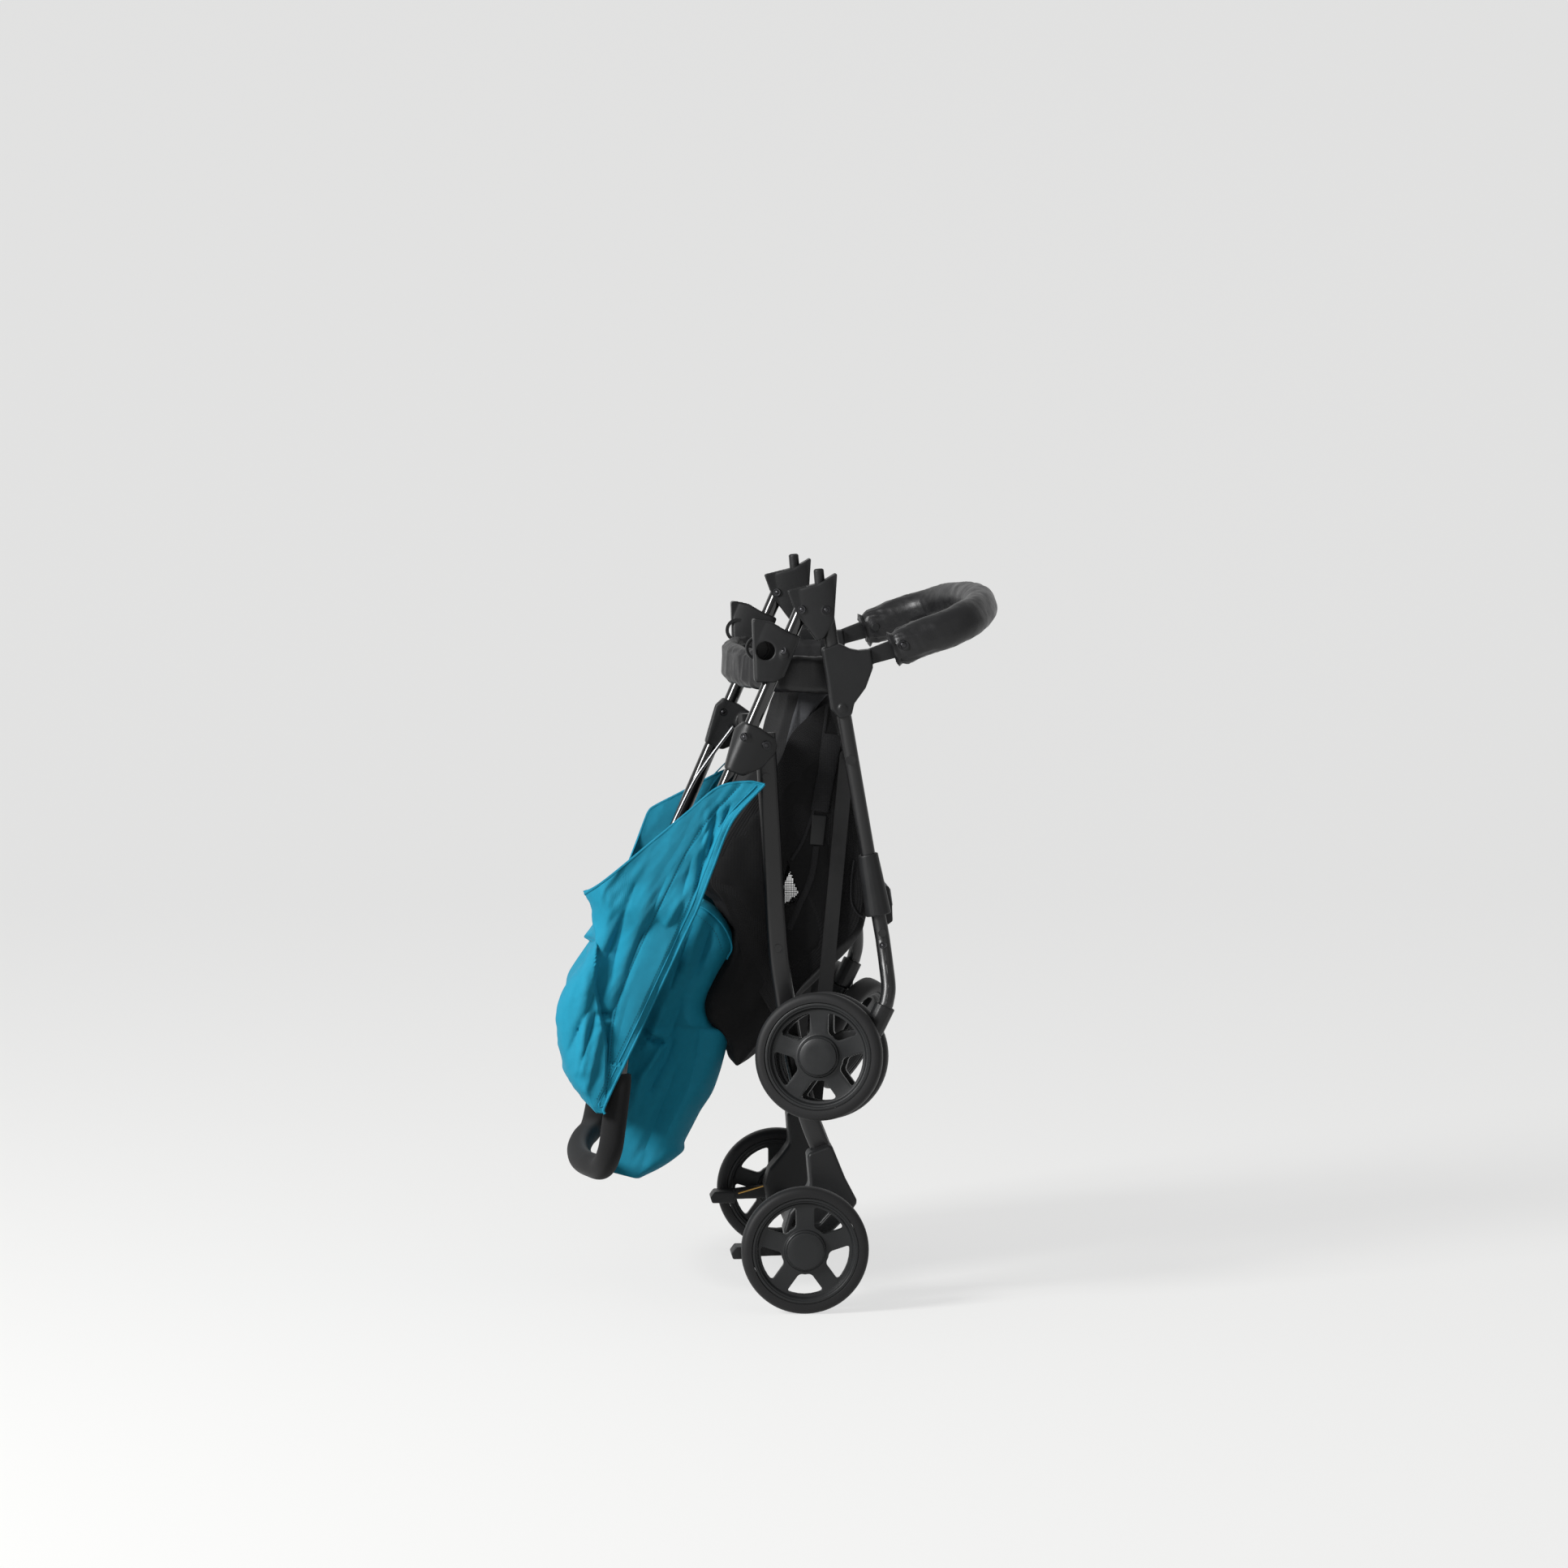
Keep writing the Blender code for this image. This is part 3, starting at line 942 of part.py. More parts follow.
def build():
    for obj in list(bpy.data.objects):
        bpy.data.objects.remove(obj, do_unlink=True)
    origin = joint_empty("stroller_origin", (*BOX_MIDDLE, 0.0))
    origin.location = (0.0, 0.0, 0.0)
    pivot = (FOLD_PIVOT[0], 0.0, FOLD_PIVOT[1])
    handle_joint = joint_empty("handle_joint", pivot, origin)
    rear_joint = joint_empty("rear_frame_joint", (REAR_PIVOT[0], 0.0, REAR_PIVOT[1]), handle_joint)
    link_joint = joint_empty("side_link_joint", (LINK_PIVOT[0], 0.0, LINK_PIVOT[1]), origin)
    bow_joint = joint_empty("canopy_bow_joint", (BOW_PIVOT[0], 0.0, BOW_PIVOT[1]), handle_joint)
    bumper_joint = joint_empty("bumper_joint", (BUMPER_BOLT[0], 0.0, BUMPER_BOLT[1]), origin)
    casters = {}
    for label, side in SIDES:
        head, down, trail = caster_frame(side)
        swivel = joint_empty(f"caster_{label}_joint", head, origin)
        turn = CASTER_TURN_RIGHT if label == "right" else CASTER_TURN_LEFT
        swivel.rotation_mode = "AXIS_ANGLE"
        swivel.rotation_axis_angle = (turn, *down)
        casters[label] = swivel
        front_leg(side, label, origin)
        hinge_cup(side, label, origin)
        lock_pin(side, label, origin)
        bumper_plate(side, label, origin)
        caster_socket(side, label, origin)
        collar_joint = joint_empty(f"lock_collar_{label}_joint", pivot, handle_joint)
        lock_collar(side, label, collar_joint)
        pivot_bracket(side, label, handle_joint)
        rear_leg(side, label, rear_joint)
        rear_foot(side, label, rear_joint)
        lever_joint = joint_empty(f"brake_lever_{label}_joint", (0.0, side * LEVER_INNER, WHEEL_R), rear_joint)
        brake_lever(side, label, lever_joint)
        brake_spring(side, label, lever_joint)
        side_link(side, label, link_joint)
        caster(side, label, swivel)
    handle(handle_joint)
    rear_hoop(origin)
    footrest(origin)
    rear_axle(rear_joint)
    canopy_bow(bow_joint)
    bumper_bar(bumper_joint)
    canopy(handle_joint)
    seat(origin)
    wheels(origin, rear_joint, casters)


build()
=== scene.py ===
import json
import math

import bmesh
import bpy
from mathutils import Matrix, Vector, noise

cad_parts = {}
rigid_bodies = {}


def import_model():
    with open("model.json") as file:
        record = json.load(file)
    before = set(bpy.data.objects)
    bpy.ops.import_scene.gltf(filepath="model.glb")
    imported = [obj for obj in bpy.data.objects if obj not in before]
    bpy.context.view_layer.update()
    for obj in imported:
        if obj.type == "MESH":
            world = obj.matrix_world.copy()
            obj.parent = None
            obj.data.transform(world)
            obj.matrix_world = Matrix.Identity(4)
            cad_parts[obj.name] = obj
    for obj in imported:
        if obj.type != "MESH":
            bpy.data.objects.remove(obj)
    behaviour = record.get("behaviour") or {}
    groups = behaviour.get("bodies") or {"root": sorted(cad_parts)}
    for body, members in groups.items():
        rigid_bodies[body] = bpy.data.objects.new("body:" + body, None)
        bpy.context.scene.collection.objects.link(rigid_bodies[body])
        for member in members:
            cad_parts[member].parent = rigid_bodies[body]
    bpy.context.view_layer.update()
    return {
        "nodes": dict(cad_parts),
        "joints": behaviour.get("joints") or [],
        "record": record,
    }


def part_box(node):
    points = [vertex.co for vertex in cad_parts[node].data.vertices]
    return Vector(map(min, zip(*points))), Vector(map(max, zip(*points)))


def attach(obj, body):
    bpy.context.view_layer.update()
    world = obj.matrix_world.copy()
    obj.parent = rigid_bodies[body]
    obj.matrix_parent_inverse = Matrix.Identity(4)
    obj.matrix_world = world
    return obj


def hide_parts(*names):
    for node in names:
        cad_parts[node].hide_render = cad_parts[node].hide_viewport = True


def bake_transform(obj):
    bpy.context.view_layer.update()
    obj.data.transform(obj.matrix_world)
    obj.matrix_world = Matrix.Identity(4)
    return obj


for spare in list(bpy.data.objects):
    bpy.data.objects.remove(spare, do_unlink=True)

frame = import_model()
nodes = frame["nodes"]
sides = (("right", -1.0), ("left", 1.0))

# Points are given as (x, z) in metres from the floor under the rear axle, as in the side view.
axleLow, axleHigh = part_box("rear_axle")
axleMiddle = Vector(((axleLow.x + axleHigh.x) / 2, (axleLow.y + axleHigh.y) / 2, 0.0))
print("frame loaded")


def linear(code):
    # sRGB hex to the linear colour that a shader takes
    parts = [int(code[k:k + 2], 16) / 255 for k in (1, 3, 5)]
    return tuple(p / 12.92 if p <= 0.04045 else ((p + 0.055) / 1.055) ** 2.4 for p in parts) + (1.0,)


def addNode(tree, kind, settings=None, links=None):
    # a capital or a number names a socket, anything else a setting of the node
    node = tree.nodes.new(f"ShaderNode{kind}")
    for key, value in (settings or {}).items():
        if isinstance(key, int) or key[0].isupper():
            node.inputs[key].default_value = value
        else:
            setattr(node, key, value)
    for key, source in (links or {}).items():
        tree.links.new(source, node.inputs[key])
    return node


def newMaterial(name, user, sockets):
    # the shader with its sockets set, and the coordinates that its patterns read
    material = bpy.data.materials.new(name)
    material.use_nodes = True
    tree = material.node_tree
    shader = tree.nodes["Principled BSDF"]
    sockets = {"Base Color": linear(user["colour"]), "Roughness": user["roughness"], **sockets}
    for key, value in sockets.items():
        shader.inputs[key].default_value = value
    return material, tree, shader, addNode(tree, "TexCoord").outputs


def mixColours(tree, shader, factor, user, second="worn"):
    ends = {6: linear(user["colour"]), 7: linear(user[second])}
    mix = addNode(tree, "Mix", {"data_type": "RGBA", **ends}, {0: factor})
    tree.links.new(mix.outputs[2], shader.inputs["Base Color"])


def varyRoughness(tree, shader, factor, low, high, start=0.3, end=0.7):
    spread = addNode(tree, "MapRange", {"From Min": start, "From Max": end, "To Min": low, "To Max": high},
                     {"Value": factor})
    tree.links.new(spread.outputs["Result"], shader.inputs["Roughness"])


def bumpFrom(tree, shader, height, distance):
    bump = addNode(tree, "Bump", {"Distance": distance, "Strength": 1.0}, {"Height": height})
    tree.links.new(bump.outputs["Normal"], shader.inputs["Normal"])


def perMetre(millimetres):
    # texture scale whose pattern repeats about every so many millimetres
    return 1000.0 / millimetres


# Powder coated steel: a thin baked polyester skin, with a slight orange peel that breaks up the highlight.
def coatedSteel(name, user):
    sockets = {"Coat Weight": user["coat"], "Coat Roughness": user["coatRoughness"],
               "Specular IOR Level": 0.5}
    material, tree, shader, where = newMaterial(name, user, sockets)
    place = {"Vector": where["Object"]}
    peel = addNode(tree, "TexNoise", {"Scale": perMetre(user["peelMm"]), "Detail": 2.0}, place)
    haze = addNode(tree, "TexNoise", {"Scale": perMetre(60.0), "Detail": 4.0, "Roughness": 0.6}, place)
    mixColours(tree, shader, haze.outputs["Fac"], user)
    varyRoughness(tree, shader, haze.outputs["Fac"], user["roughness"] * 0.8, user["roughness"] * 1.3)
    bumpFrom(tree, shader, peel.outputs["Fac"], user["peelDepth"])
    return material


# Injection moulded nylon with a spark eroded grain: dull, with soft broad highlights.
def mouldedNylon(name, user):
    material, tree, shader, where = newMaterial(name, user, {"Specular IOR Level": 0.35})
    place = {"Vector": where["Object"]}
    grainScale = perMetre(user["grainMm"])
    grain = addNode(tree, "TexNoise", {"Scale": grainScale, "Detail": 3.0, "Roughness": 0.7}, place)
    rub = addNode(tree, "TexNoise", {"Scale": perMetre(35.0), "Detail": 5.0, "Roughness": 0.65}, place)
    mixColours(tree, shader, rub.outputs["Fac"], user)
    varyRoughness(tree, shader, rub.outputs["Fac"], user["roughness"] - 0.07, user["roughness"] + 0.08)
    bumpFrom(tree, shader, grain.outputs["Fac"], user["grainDepth"])
    return material


# Foamed rubber, moulded or cut: many fine closed cells, almost no highlight.
def foamedRubber(name, user):
    sockets = {"Sheen Weight": user["sheen"], "Sheen Roughness": 0.5, "Specular IOR Level": 0.3}
    material, tree, shader, where = newMaterial(name, user, sockets)
    place = {"Vector": where["Object"]}
    cells = addNode(tree, "TexVoronoi", {"Scale": perMetre(user["cellMm"])}, place)
    cloud = addNode(tree, "TexNoise", {"Scale": perMetre(25.0), "Detail": 5.0}, place)
    mixColours(tree, shader, cloud.outputs["Fac"], user)
    bumpFrom(tree, shader, cells.outputs["Distance"], user["cellDepth"])
    return material


# Woven polyester: plain weave of filament yarn, with a soft sheen where it turns away from the eye.
# The threads are drawn several times coarser than real ones, which are too fine to show.
def wovenPolyester(name, user):
    sockets = {"Sheen Weight": user["sheen"], "Sheen Roughness": 0.35,
               "Sheen Tint": linear(user["sheenTint"]), "Specular IOR Level": 0.25}
    material, tree, shader, where = newMaterial(name, user, sockets)
    source = where["UV"] if user["flatMap"] else where["Object"]
    threads = addNode(tree, "VectorMath", {"operation": "SCALE", 3: perMetre(user["threadMm"])}, {0: source})
    split = addNode(tree, "SeparateXYZ", {}, {0: threads.outputs["Vector"]})
    rounds = []
    for axisName in ("X", "Y" if user["flatMap"] else "Z"):
        turn = addNode(tree, "Math", {"operation": "MULTIPLY", 1: math.pi}, {0: split.outputs[axisName]})
        wave = addNode(tree, "Math", {"operation": "SINE"}, {0: turn.outputs["Value"]})
        rounds.append(wave.outputs["Value"])
    over = addNode(tree, "Math", {"operation": "MULTIPLY"}, {0: rounds[0], 1: rounds[1]})
    height = addNode(tree, "Math", {"operation": "ABSOLUTE"}, {0: over.outputs["Value"]})
    slub = addNode(tree, "TexNoise", {"Scale": perMetre(9.0), "Detail": 6.0, "Roughness": 0.6},
                   {"Vector": where["Object"]})
    # painted shade: the colour is lighter on the thread tops and darker between the threads, and the slub
    # noise adds random tone
    threadShadeAndSlub = addNode(tree, "Math", {"operation": "MULTIPLY_ADD", 1: 0.35},
                   {0: height.outputs["Value"], 2: slub.outputs["Fac"]})
    mixColours(tree, shader, threadShadeAndSlub.outputs["Value"], user, "lighter")
    bumpFrom(tree, shader, height.outputs["Value"], user["threadMm"] * 0.00018)
    return material


# Soft vinyl cover: embossed leather grain under a satin skin.
def softVinyl(name, user):
    material, tree, shader, where = newMaterial(name, user, {"Specular IOR Level": 0.45})
    place = {"Vector": where["Object"]}
    grain = addNode(tree, "TexVoronoi", {"feature": "SMOOTH_F1", "Scale": perMetre(user["grainMm"])}, place)
    crease = addNode(tree, "TexNoise", {"Scale": perMetre(14.0), "Detail": 6.0, "Roughness": 0.6}, place)
    mixColours(tree, shader, crease.outputs["Fac"], user)
    varyRoughness(tree, shader, crease.outputs["Fac"], user["roughness"] - 0.08, user["roughness"] + 0.12)
    total = addNode(tree, "Math", {"operation": "MULTIPLY_ADD", 1: 0.6},
                    {0: grain.outputs["Distance"], 2: crease.outputs["Fac"]})
    bumpFrom(tree, shader, total.outputs["Value"], user["grainDepth"])
    return material


# Plated steel: drawn or headed, then zinc plated, so the highlight is streaked and slightly milky.
def platedSteel(name, user):
    material, tree, shader, where = newMaterial(name, user, {"Metallic": 1.0})
    streak = addNode(tree, "TexNoise", {"Scale": perMetre(1.5), "Detail": 3.0}, {"Vector": where["Object"]})
    least, most = user["roughness"] * 0.7, user["roughness"] * 1.4
    varyRoughness(tree, shader, streak.outputs["Fac"], least, most, start=0.0, end=1.0)
    mixColours(tree, shader, streak.outputs["Fac"], user)
    return material


glossPaint = coatedSteel("glossBlackPowderCoat", {
    "colour": "#0b0b0c", "worn": "#101011", "roughness": 0.16, "coat": 0.6, "coatRoughness": 0.08,
    "peelMm": 3.0, "peelDepth": 2e-05,
})
satinPaint = coatedSteel("satinBlackPowderCoat", {
    "colour": "#101011", "worn": "#171718", "roughness": 0.34, "coat": 0.12, "coatRoughness": 0.3,
    "peelMm": 2.0, "peelDepth": 3e-05,
})
nylon = mouldedNylon("blackMouldedNylon", {
    "colour": "#161617", "worn": "#1d1e1f", "roughness": 0.46, "grainMm": 1.4, "grainDepth": 0.0001,
})
wheelNylon = mouldedNylon("blackWheelNylon", {
    "colour": "#1b1c1d", "worn": "#232425", "roughness": 0.44, "grainMm": 1.6, "grainDepth": 7e-05,
})
linkPaint = coatedSteel("mattBlackPowderCoat", {
    "colour": "#08080a", "worn": "#0c0c0d", "roughness": 0.62, "coat": 0.0, "coatRoughness": 0.5,
    "peelMm": 2.0, "peelDepth": 2e-05,
})
tyreFoam = foamedRubber("blackTyreFoam", {
    "colour": "#161617", "worn": "#1d1d1e", "roughness": 0.58, "sheen": 0.05, "cellMm": 1.6,
    "cellDepth": 4e-05,
})
gripFoamFinish = foamedRubber("blackGripFoam", {
    "colour": "#111112", "worn": "#181819", "roughness": 0.9, "sheen": 0.06, "cellMm": 1.4,
    "cellDepth": 0.00012,
})
tealCloth = wovenPolyester("tealWovenPolyester", {
    "colour": "#1084a2", "lighter": "#1a93b2", "roughness": 0.62, "sheen": 0.12, "sheenTint": "#7fd4e6",
    "threadMm": 1.1, "flatMap": True,
})
tealBinding = wovenPolyester("tealWovenBinding", {
    "colour": "#0e7c99", "lighter": "#1689a7", "roughness": 0.6, "sheen": 0.12, "sheenTint": "#7fd4e6",
    "threadMm": 1.1, "flatMap": False,
})
blackCloth = wovenPolyester("blackWovenPolyester", {
    "colour": "#0b0b0c", "lighter": "#131314", "roughness": 0.8, "sheen": 0.06, "sheenTint": "#8a8a90",
    "threadMm": 1.2, "flatMap": False,
})
greyCloth = wovenPolyester("greyWovenPolyester", {
    "colour": "#37383b", "lighter": "#46474a", "roughness": 0.6, "sheen": 0.2, "sheenTint": "#b0b0b6",
    "threadMm": 1.2, "flatMap": True,
})
tealThread = wovenPolyester("tealSewingThread", {
    "colour": "#064456", "lighter": "#0a5468", "roughness": 0.6, "sheen": 0.1, "sheenTint": "#7fd4e6",
    "threadMm": 1.1, "flatMap": False,
})
meshCloth = wovenPolyester("blackMeshPolyester", {
    "colour": "#0d0d0e", "lighter": "#171718", "roughness": 0.75, "sheen": 0.08, "sheenTint": "#9a9aa0",
    "threadMm": 2.0, "flatMap": True,
})
webbing = wovenPolyester("blackWovenWebbing", {
    "colour": "#111112", "lighter": "#1d1d1f", "roughness": 0.6, "sheen": 0.08, "sheenTint": "#8a8a90",
    "threadMm": 1.6, "flatMap": False,
})
vinyl = softVinyl("blackEmbossedVinyl", {
    "colour": "#131314", "worn": "#1b1b1d", "roughness": 0.42, "grainMm": 1.6, "grainDepth": 0.00016,
})
zincSteel = platedSteel("zincPlatedSteel", {
    "colour": "#77787a", "worn": "#8c8d8f", "roughness": 0.34,
})
blackRivet = platedSteel("blackZincRivet", {
    "colour": "#3a3a3c", "worn": "#4b4b4d", "roughness": 0.36,
})
yellowZinc = platedSteel("yellowZincSpringWire", {
    "colour": "#b08a4a", "worn": "#c79e58", "roughness": 0.34,
})
greyTread = mouldedNylon("greyMouldedTread", {
    "colour": "#8e9093", "worn": "#a3a5a8", "roughness": 0.4, "grainMm": 2.0, "grainDepth": 0.0001,
})
print("materials made")

slotFinish = {
    "gloss_tube": glossPaint, "satin_tube": satinPaint, "moulding": nylon, "foam": gripFoamFinish,
    "tyre": tyreFoam, "teal_cloth": tealBinding, "black_cloth": blackCloth, "vinyl": vinyl,
    "steel": zincSteel, "spring_steel": yellowZinc, "grey_tread": greyTread,
}
nodeSlot = {part["node"]: part["material_slot"] for part in frame["record"]["subparts"]}
for name, node in nodes.items():
    node.data.materials.clear()
    node.data.materials.append(linkPaint if name.startswith("side_link") else slotFinish[nodeSlot[name]])


def makePiece(name, bm, material, body, replaced=(), sharp=35.0):
    # closes a piece: normals out, place in the mesh, finish, body and the solids that it stands for
    bmesh.ops.recalc_face_normals(bm, faces=bm.faces)
    bmesh.ops.translate(bm, vec=axleMiddle, verts=bm.verts)
    mesh = bpy.data.meshes.new(name)
    bm.to_mesh(mesh)
    bm.free()
    mesh.shade_smooth()
    mesh.set_sharp_from_angle(angle=math.radians(sharp))
    mesh.materials.append(material)
    piece = bpy.data.objects.new(name, mesh)
    bpy.context.scene.collection.objects.link(piece)
    if replaced:
        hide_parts(*replaced)
    if body:
        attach(piece, body)
    return piece


def smoothLine(points, steps):
    # a smooth line through the points
    line = [Vector(p) for p in points]
    line = [2 * line[0] - line[1], *line, 2 * line[-1] - line[-2]]
    found = []
    for a, b, c, d in zip(line, line[1:], line[2:], line[3:]):
        for k in range(steps):
            t = k / steps
            found.append(0.5 * (2 * b + (c - a) * t + (2 * a - 5 * b + 4 * c - d) * t * t
                                + (3 * b - a - 3 * c + d) * t ** 3))
    found.append(line[-2])
    return found


def inPlane(points, distance):
    return [Vector((p[0], distance, p[1])) for p in points]


def stationsAlong(path, hint=(0.0, 1.0, 0.0), growth=None):
    # a frame at each point of the path, carried along without twist
    stations = []
    side = Vector(hint)
    for k, point in enumerate(path):
        ahead = (path[min(k + 1, len(path) - 1)] - path[max(k - 1, 0)]).normalized()
        side = (side - ahead * side.dot(ahead)).normalized()
        turn = Matrix((side, ahead.cross(side), ahead)).transposed().to_4x4()
        size = growth[k] if growth else 1.0
        stations.append(Matrix.Translation(point) @ turn @ Matrix.Diagonal((size, size, 1.0, 1.0)))
    return stations


def sweepRing(bm, edges, stations):
    # pulls a ring of edges from frame to frame and returns the last ring
    for before, after in zip(stations, stations[1:]):
        made = bmesh.ops.extrude_edge_only(bm, edges=edges)["geom"]
        verts = [item for item in made if isinstance(item, bmesh.types.BMVert)]
        fresh = set(verts)
        edges = [item for item in made if isinstance(item, bmesh.types.BMEdge)
                 and item.verts[0] in fresh and item.verts[1] in fresh]
        bmesh.ops.transform(bm, matrix=after @ before.inverted(), verts=verts)
    return edges


def tubeAlong(path, radius, sideCount, hint=(0.0, 1.0, 0.0), growth=None, flatBy=0.0):
    stations = stationsAlong(path, hint, growth)
    bm = bmesh.new()
    ring = bmesh.ops.create_circle(bm, segments=sideCount, radius=radius)["verts"]
    bmesh.ops.rotate(bm, verts=ring, matrix=Matrix.Rotation(math.pi / sideCount, 3, "Z"))
    for vert in ring:
        vert.co.y += math.copysign(flatBy, vert.co.y)
    edges = list({edge for vert in ring for edge in vert.link_edges})
    bmesh.ops.transform(bm, matrix=stations[0], verts=ring)
    last = sweepRing(bm, edges, stations)
    bmesh.ops.edgeloop_fill(bm, edges=edges)
    bmesh.ops.edgeloop_fill(bm, edges=last)
    return bm


def spinProfile(profile, steps):
    # a closed (radius, y) profile spun once about the Y axis
    bm = bmesh.new()
    verts = [bm.verts.new((r, y, 0.0)) for r, y in profile]
    edges = [bm.edges.new((verts[k], verts[(k + 1) % len(verts)])) for k in range(len(verts))]
    bmesh.ops.spin(bm, geom=[*verts, *edges], axis=(0.0, 1.0, 0.0), cent=(0.0, 0.0, 0.0), steps=steps,
                   angle=2 * math.pi, use_merge=True)
    return bm


def spinOpen(profile, steps):
    # an open profile whose ends lie on the axis, spun into a closed form
    bm = bmesh.new()
    verts = [bm.verts.new((r, y, 0.0)) for r, y in profile]
    edges = [bm.edges.new(pair) for pair in zip(verts, verts[1:])]
    bmesh.ops.spin(bm, geom=[*verts, *edges], axis=(0.0, 1.0, 0.0), cent=(0.0, 0.0, 0.0), steps=steps,
                   angle=2 * math.pi, use_merge=True)
    bmesh.ops.remove_doubles(bm, verts=bm.verts, dist=0.00001)
    return bm


def freeze(piece):
    # turns what the modifiers make into the piece's own mesh
    ready = piece.evaluated_get(bpy.context.evaluated_depsgraph_get())
    mesh = bpy.data.meshes.new_from_object(ready)
    piece.modifiers.clear()
    piece.data = mesh
    return piece


def voxelRemesh(piece, size):
    remesh = piece.modifiers.new("remesh", "REMESH")
    remesh.mode = "VOXEL"
    remesh.voxel_size = size


def cutWith(piece, tool):
    carve = piece.modifiers.new("cut", "BOOLEAN")
    carve.object = tool
    carve.operation = "DIFFERENCE"
    carve.solver = "EXACT"


def looseObject(name, bm):
    mesh = bpy.data.meshes.new(name)
    bm.to_mesh(mesh)
    bm.free()
    item = bpy.data.objects.new(name, mesh)
    bpy.context.scene.collection.objects.link(item)
    return item


def mirrored(half, middle):
    # the right-hand half of a path, its middle and the left-hand half
    right = [(x, -y, z) for x, z, y in half]
    left = [(x, y, z) for x, z, y in reversed(half)]
    return [*right, (middle[0], 0.0, middle[1]), *left]


def tapered(path, sizes):
    # how thick a tube is along its path: its first and last steps have their own sizes
    growth = [1.0] * len(path)
    for k, size in enumerate(sizes):
        growth[k] = size
        growth[-1 - k] = size
    return growth


def offLine(x, z, line):
    # distance to a line of points, less than zero on its left (towards -X for a line that runs down)
    best, sign = 1e9, 1.0
    for (x0, z0), (x1, z1) in zip(line, line[1:]):
        dx, dz = x1 - x0, z1 - z0
        share = max(0.0, min(1.0, ((x - x0) * dx + (z - z0) * dz) / (dx * dx + dz * dz)))
        gap = math.hypot(x - x0 - dx * share, z - z0 - dz * share)
        if gap < best:
            best, sign = gap, (1.0 if dx * (z - z0) - dz * (x - x0) > 0 else -1.0)
    return best * sign


# Handle: two gloss tubes and the foam grip between them
handleUser = {
    "foldPivot": (-0.0015, 0.7691), "lean": 23.4, "kneeDrop": 0.441, "kneeRadius": 0.12, "gripLean": 6.9,
    "half": 0.185, "radius": 0.008, "top": 0.009, "foot": 0.25, "tubeSides": 32, "foamRadius": 0.0135,
    "foamTop": 0.262, "foamBendTop": 0.205, "foamEnds": (0.9, 0.97, 1.0), "foamSides": 40,
    "foamBend": [
        (-0.2115, 0.176, 0.18), (-0.2189, 0.1535, 0.15), (-0.2305, 0.1485, 0.1), (-0.237, 0.1458, 0.05),
    ],
    "foamMiddle": (-0.2386, 0.1449),
}


def handlePoint(height):
    x, z = handleUser["foldPivot"]
    return (x - (z - height) * math.tan(math.radians(handleUser["lean"])), height)


def handleAxis():
    lean, gripLean = math.radians(handleUser["lean"]), math.radians(handleUser["gripLean"])
    radius = handleUser["kneeRadius"]
    knee = handlePoint(handleUser["foldPivot"][1] - handleUser["kneeDrop"])
    reach = radius * math.tan((lean - gripLean) / 2)
    centre = (knee[0] + reach * math.sin(lean) + radius * math.cos(lean),
              knee[1] + reach * math.cos(lean) - radius * math.sin(lean))
    points = [handlePoint(handleUser["foldPivot"][1] + handleUser["top"] - 0.018 * k) for k in range(22)]
    points = [p for p in points if p[1] > knee[1] + reach * math.cos(lean) + 0.004]
    for k in range(9):
        turn = lean - (lean - gripLean) * k / 8
        points.append((centre[0] - radius * math.cos(turn), centre[1] + radius * math.sin(turn)))
    drop = points[-1][1] - handleUser["foot"]
    points.append((points[-1][0] - drop * math.tan(gripLean), handleUser["foot"]))
    return points


axis = handleAxis()
for label, side in sides:
    tube = tubeAlong(inPlane(axis, side * handleUser["half"]), handleUser["radius"], handleUser["tubeSides"])
    makePiece(f"handleTube_{label}", tube, glossPaint, "handle_frame", [f"handle_tube_{label}"])

foot = axis[-1]


def gripLeg(height):
    return (foot[0] - (handleUser["foot"] - height) * math.tan(math.radians(handleUser["gripLean"])), height)


legFoot = gripLeg(handleUser["foamBendTop"])
bend = [(*legFoot, handleUser["half"]), *handleUser["foamBend"]]
curve = smoothLine(mirrored(bend, handleUser["foamMiddle"]), 10)
legTop = gripLeg(handleUser["foamTop"])
straight = [(legTop[0] + (legFoot[0] - legTop[0]) * k / 8, legTop[1] + (legFoot[1] - legTop[1]) * k / 8)
            for k in range(8)]
legs = [inPlane(straight, side * handleUser["half"]) for _, side in sides]
path = [*legs[0], *curve, *reversed(legs[1])]
grip = tubeAlong(path, handleUser["foamRadius"], handleUser["foamSides"],
                 growth=tapered(path, handleUser["foamEnds"]))
gripPiece = makePiece("foamGrip", grip, gripFoamFinish, "handle_frame", ["foam_grip"])
print("handle made")


# Front legs: satin tube with a bend to the caster
legUser = {
    "offset": 0.0266, "slope": 0.174, "topDrop": 0.004, "straightEnd": 0.408,
    "bend": [(0.091, 0.38, 0.194), (0.0925, 0.356, 0.2065)], "head": (0.0769, 0.3135, 0.212),
    "casterLean": 26.2, "rise": 0.029, "stemRise": 0.006,
}
casterDown = Vector((-math.sin(math.radians(legUser["casterLean"])), 0.0,
                     -math.cos(math.radians(legUser["casterLean"]))))


def legPoint(height):
    x, z = handleUser["foldPivot"]
    return (x + legUser["offset"] + (z - height) * legUser["slope"], height)


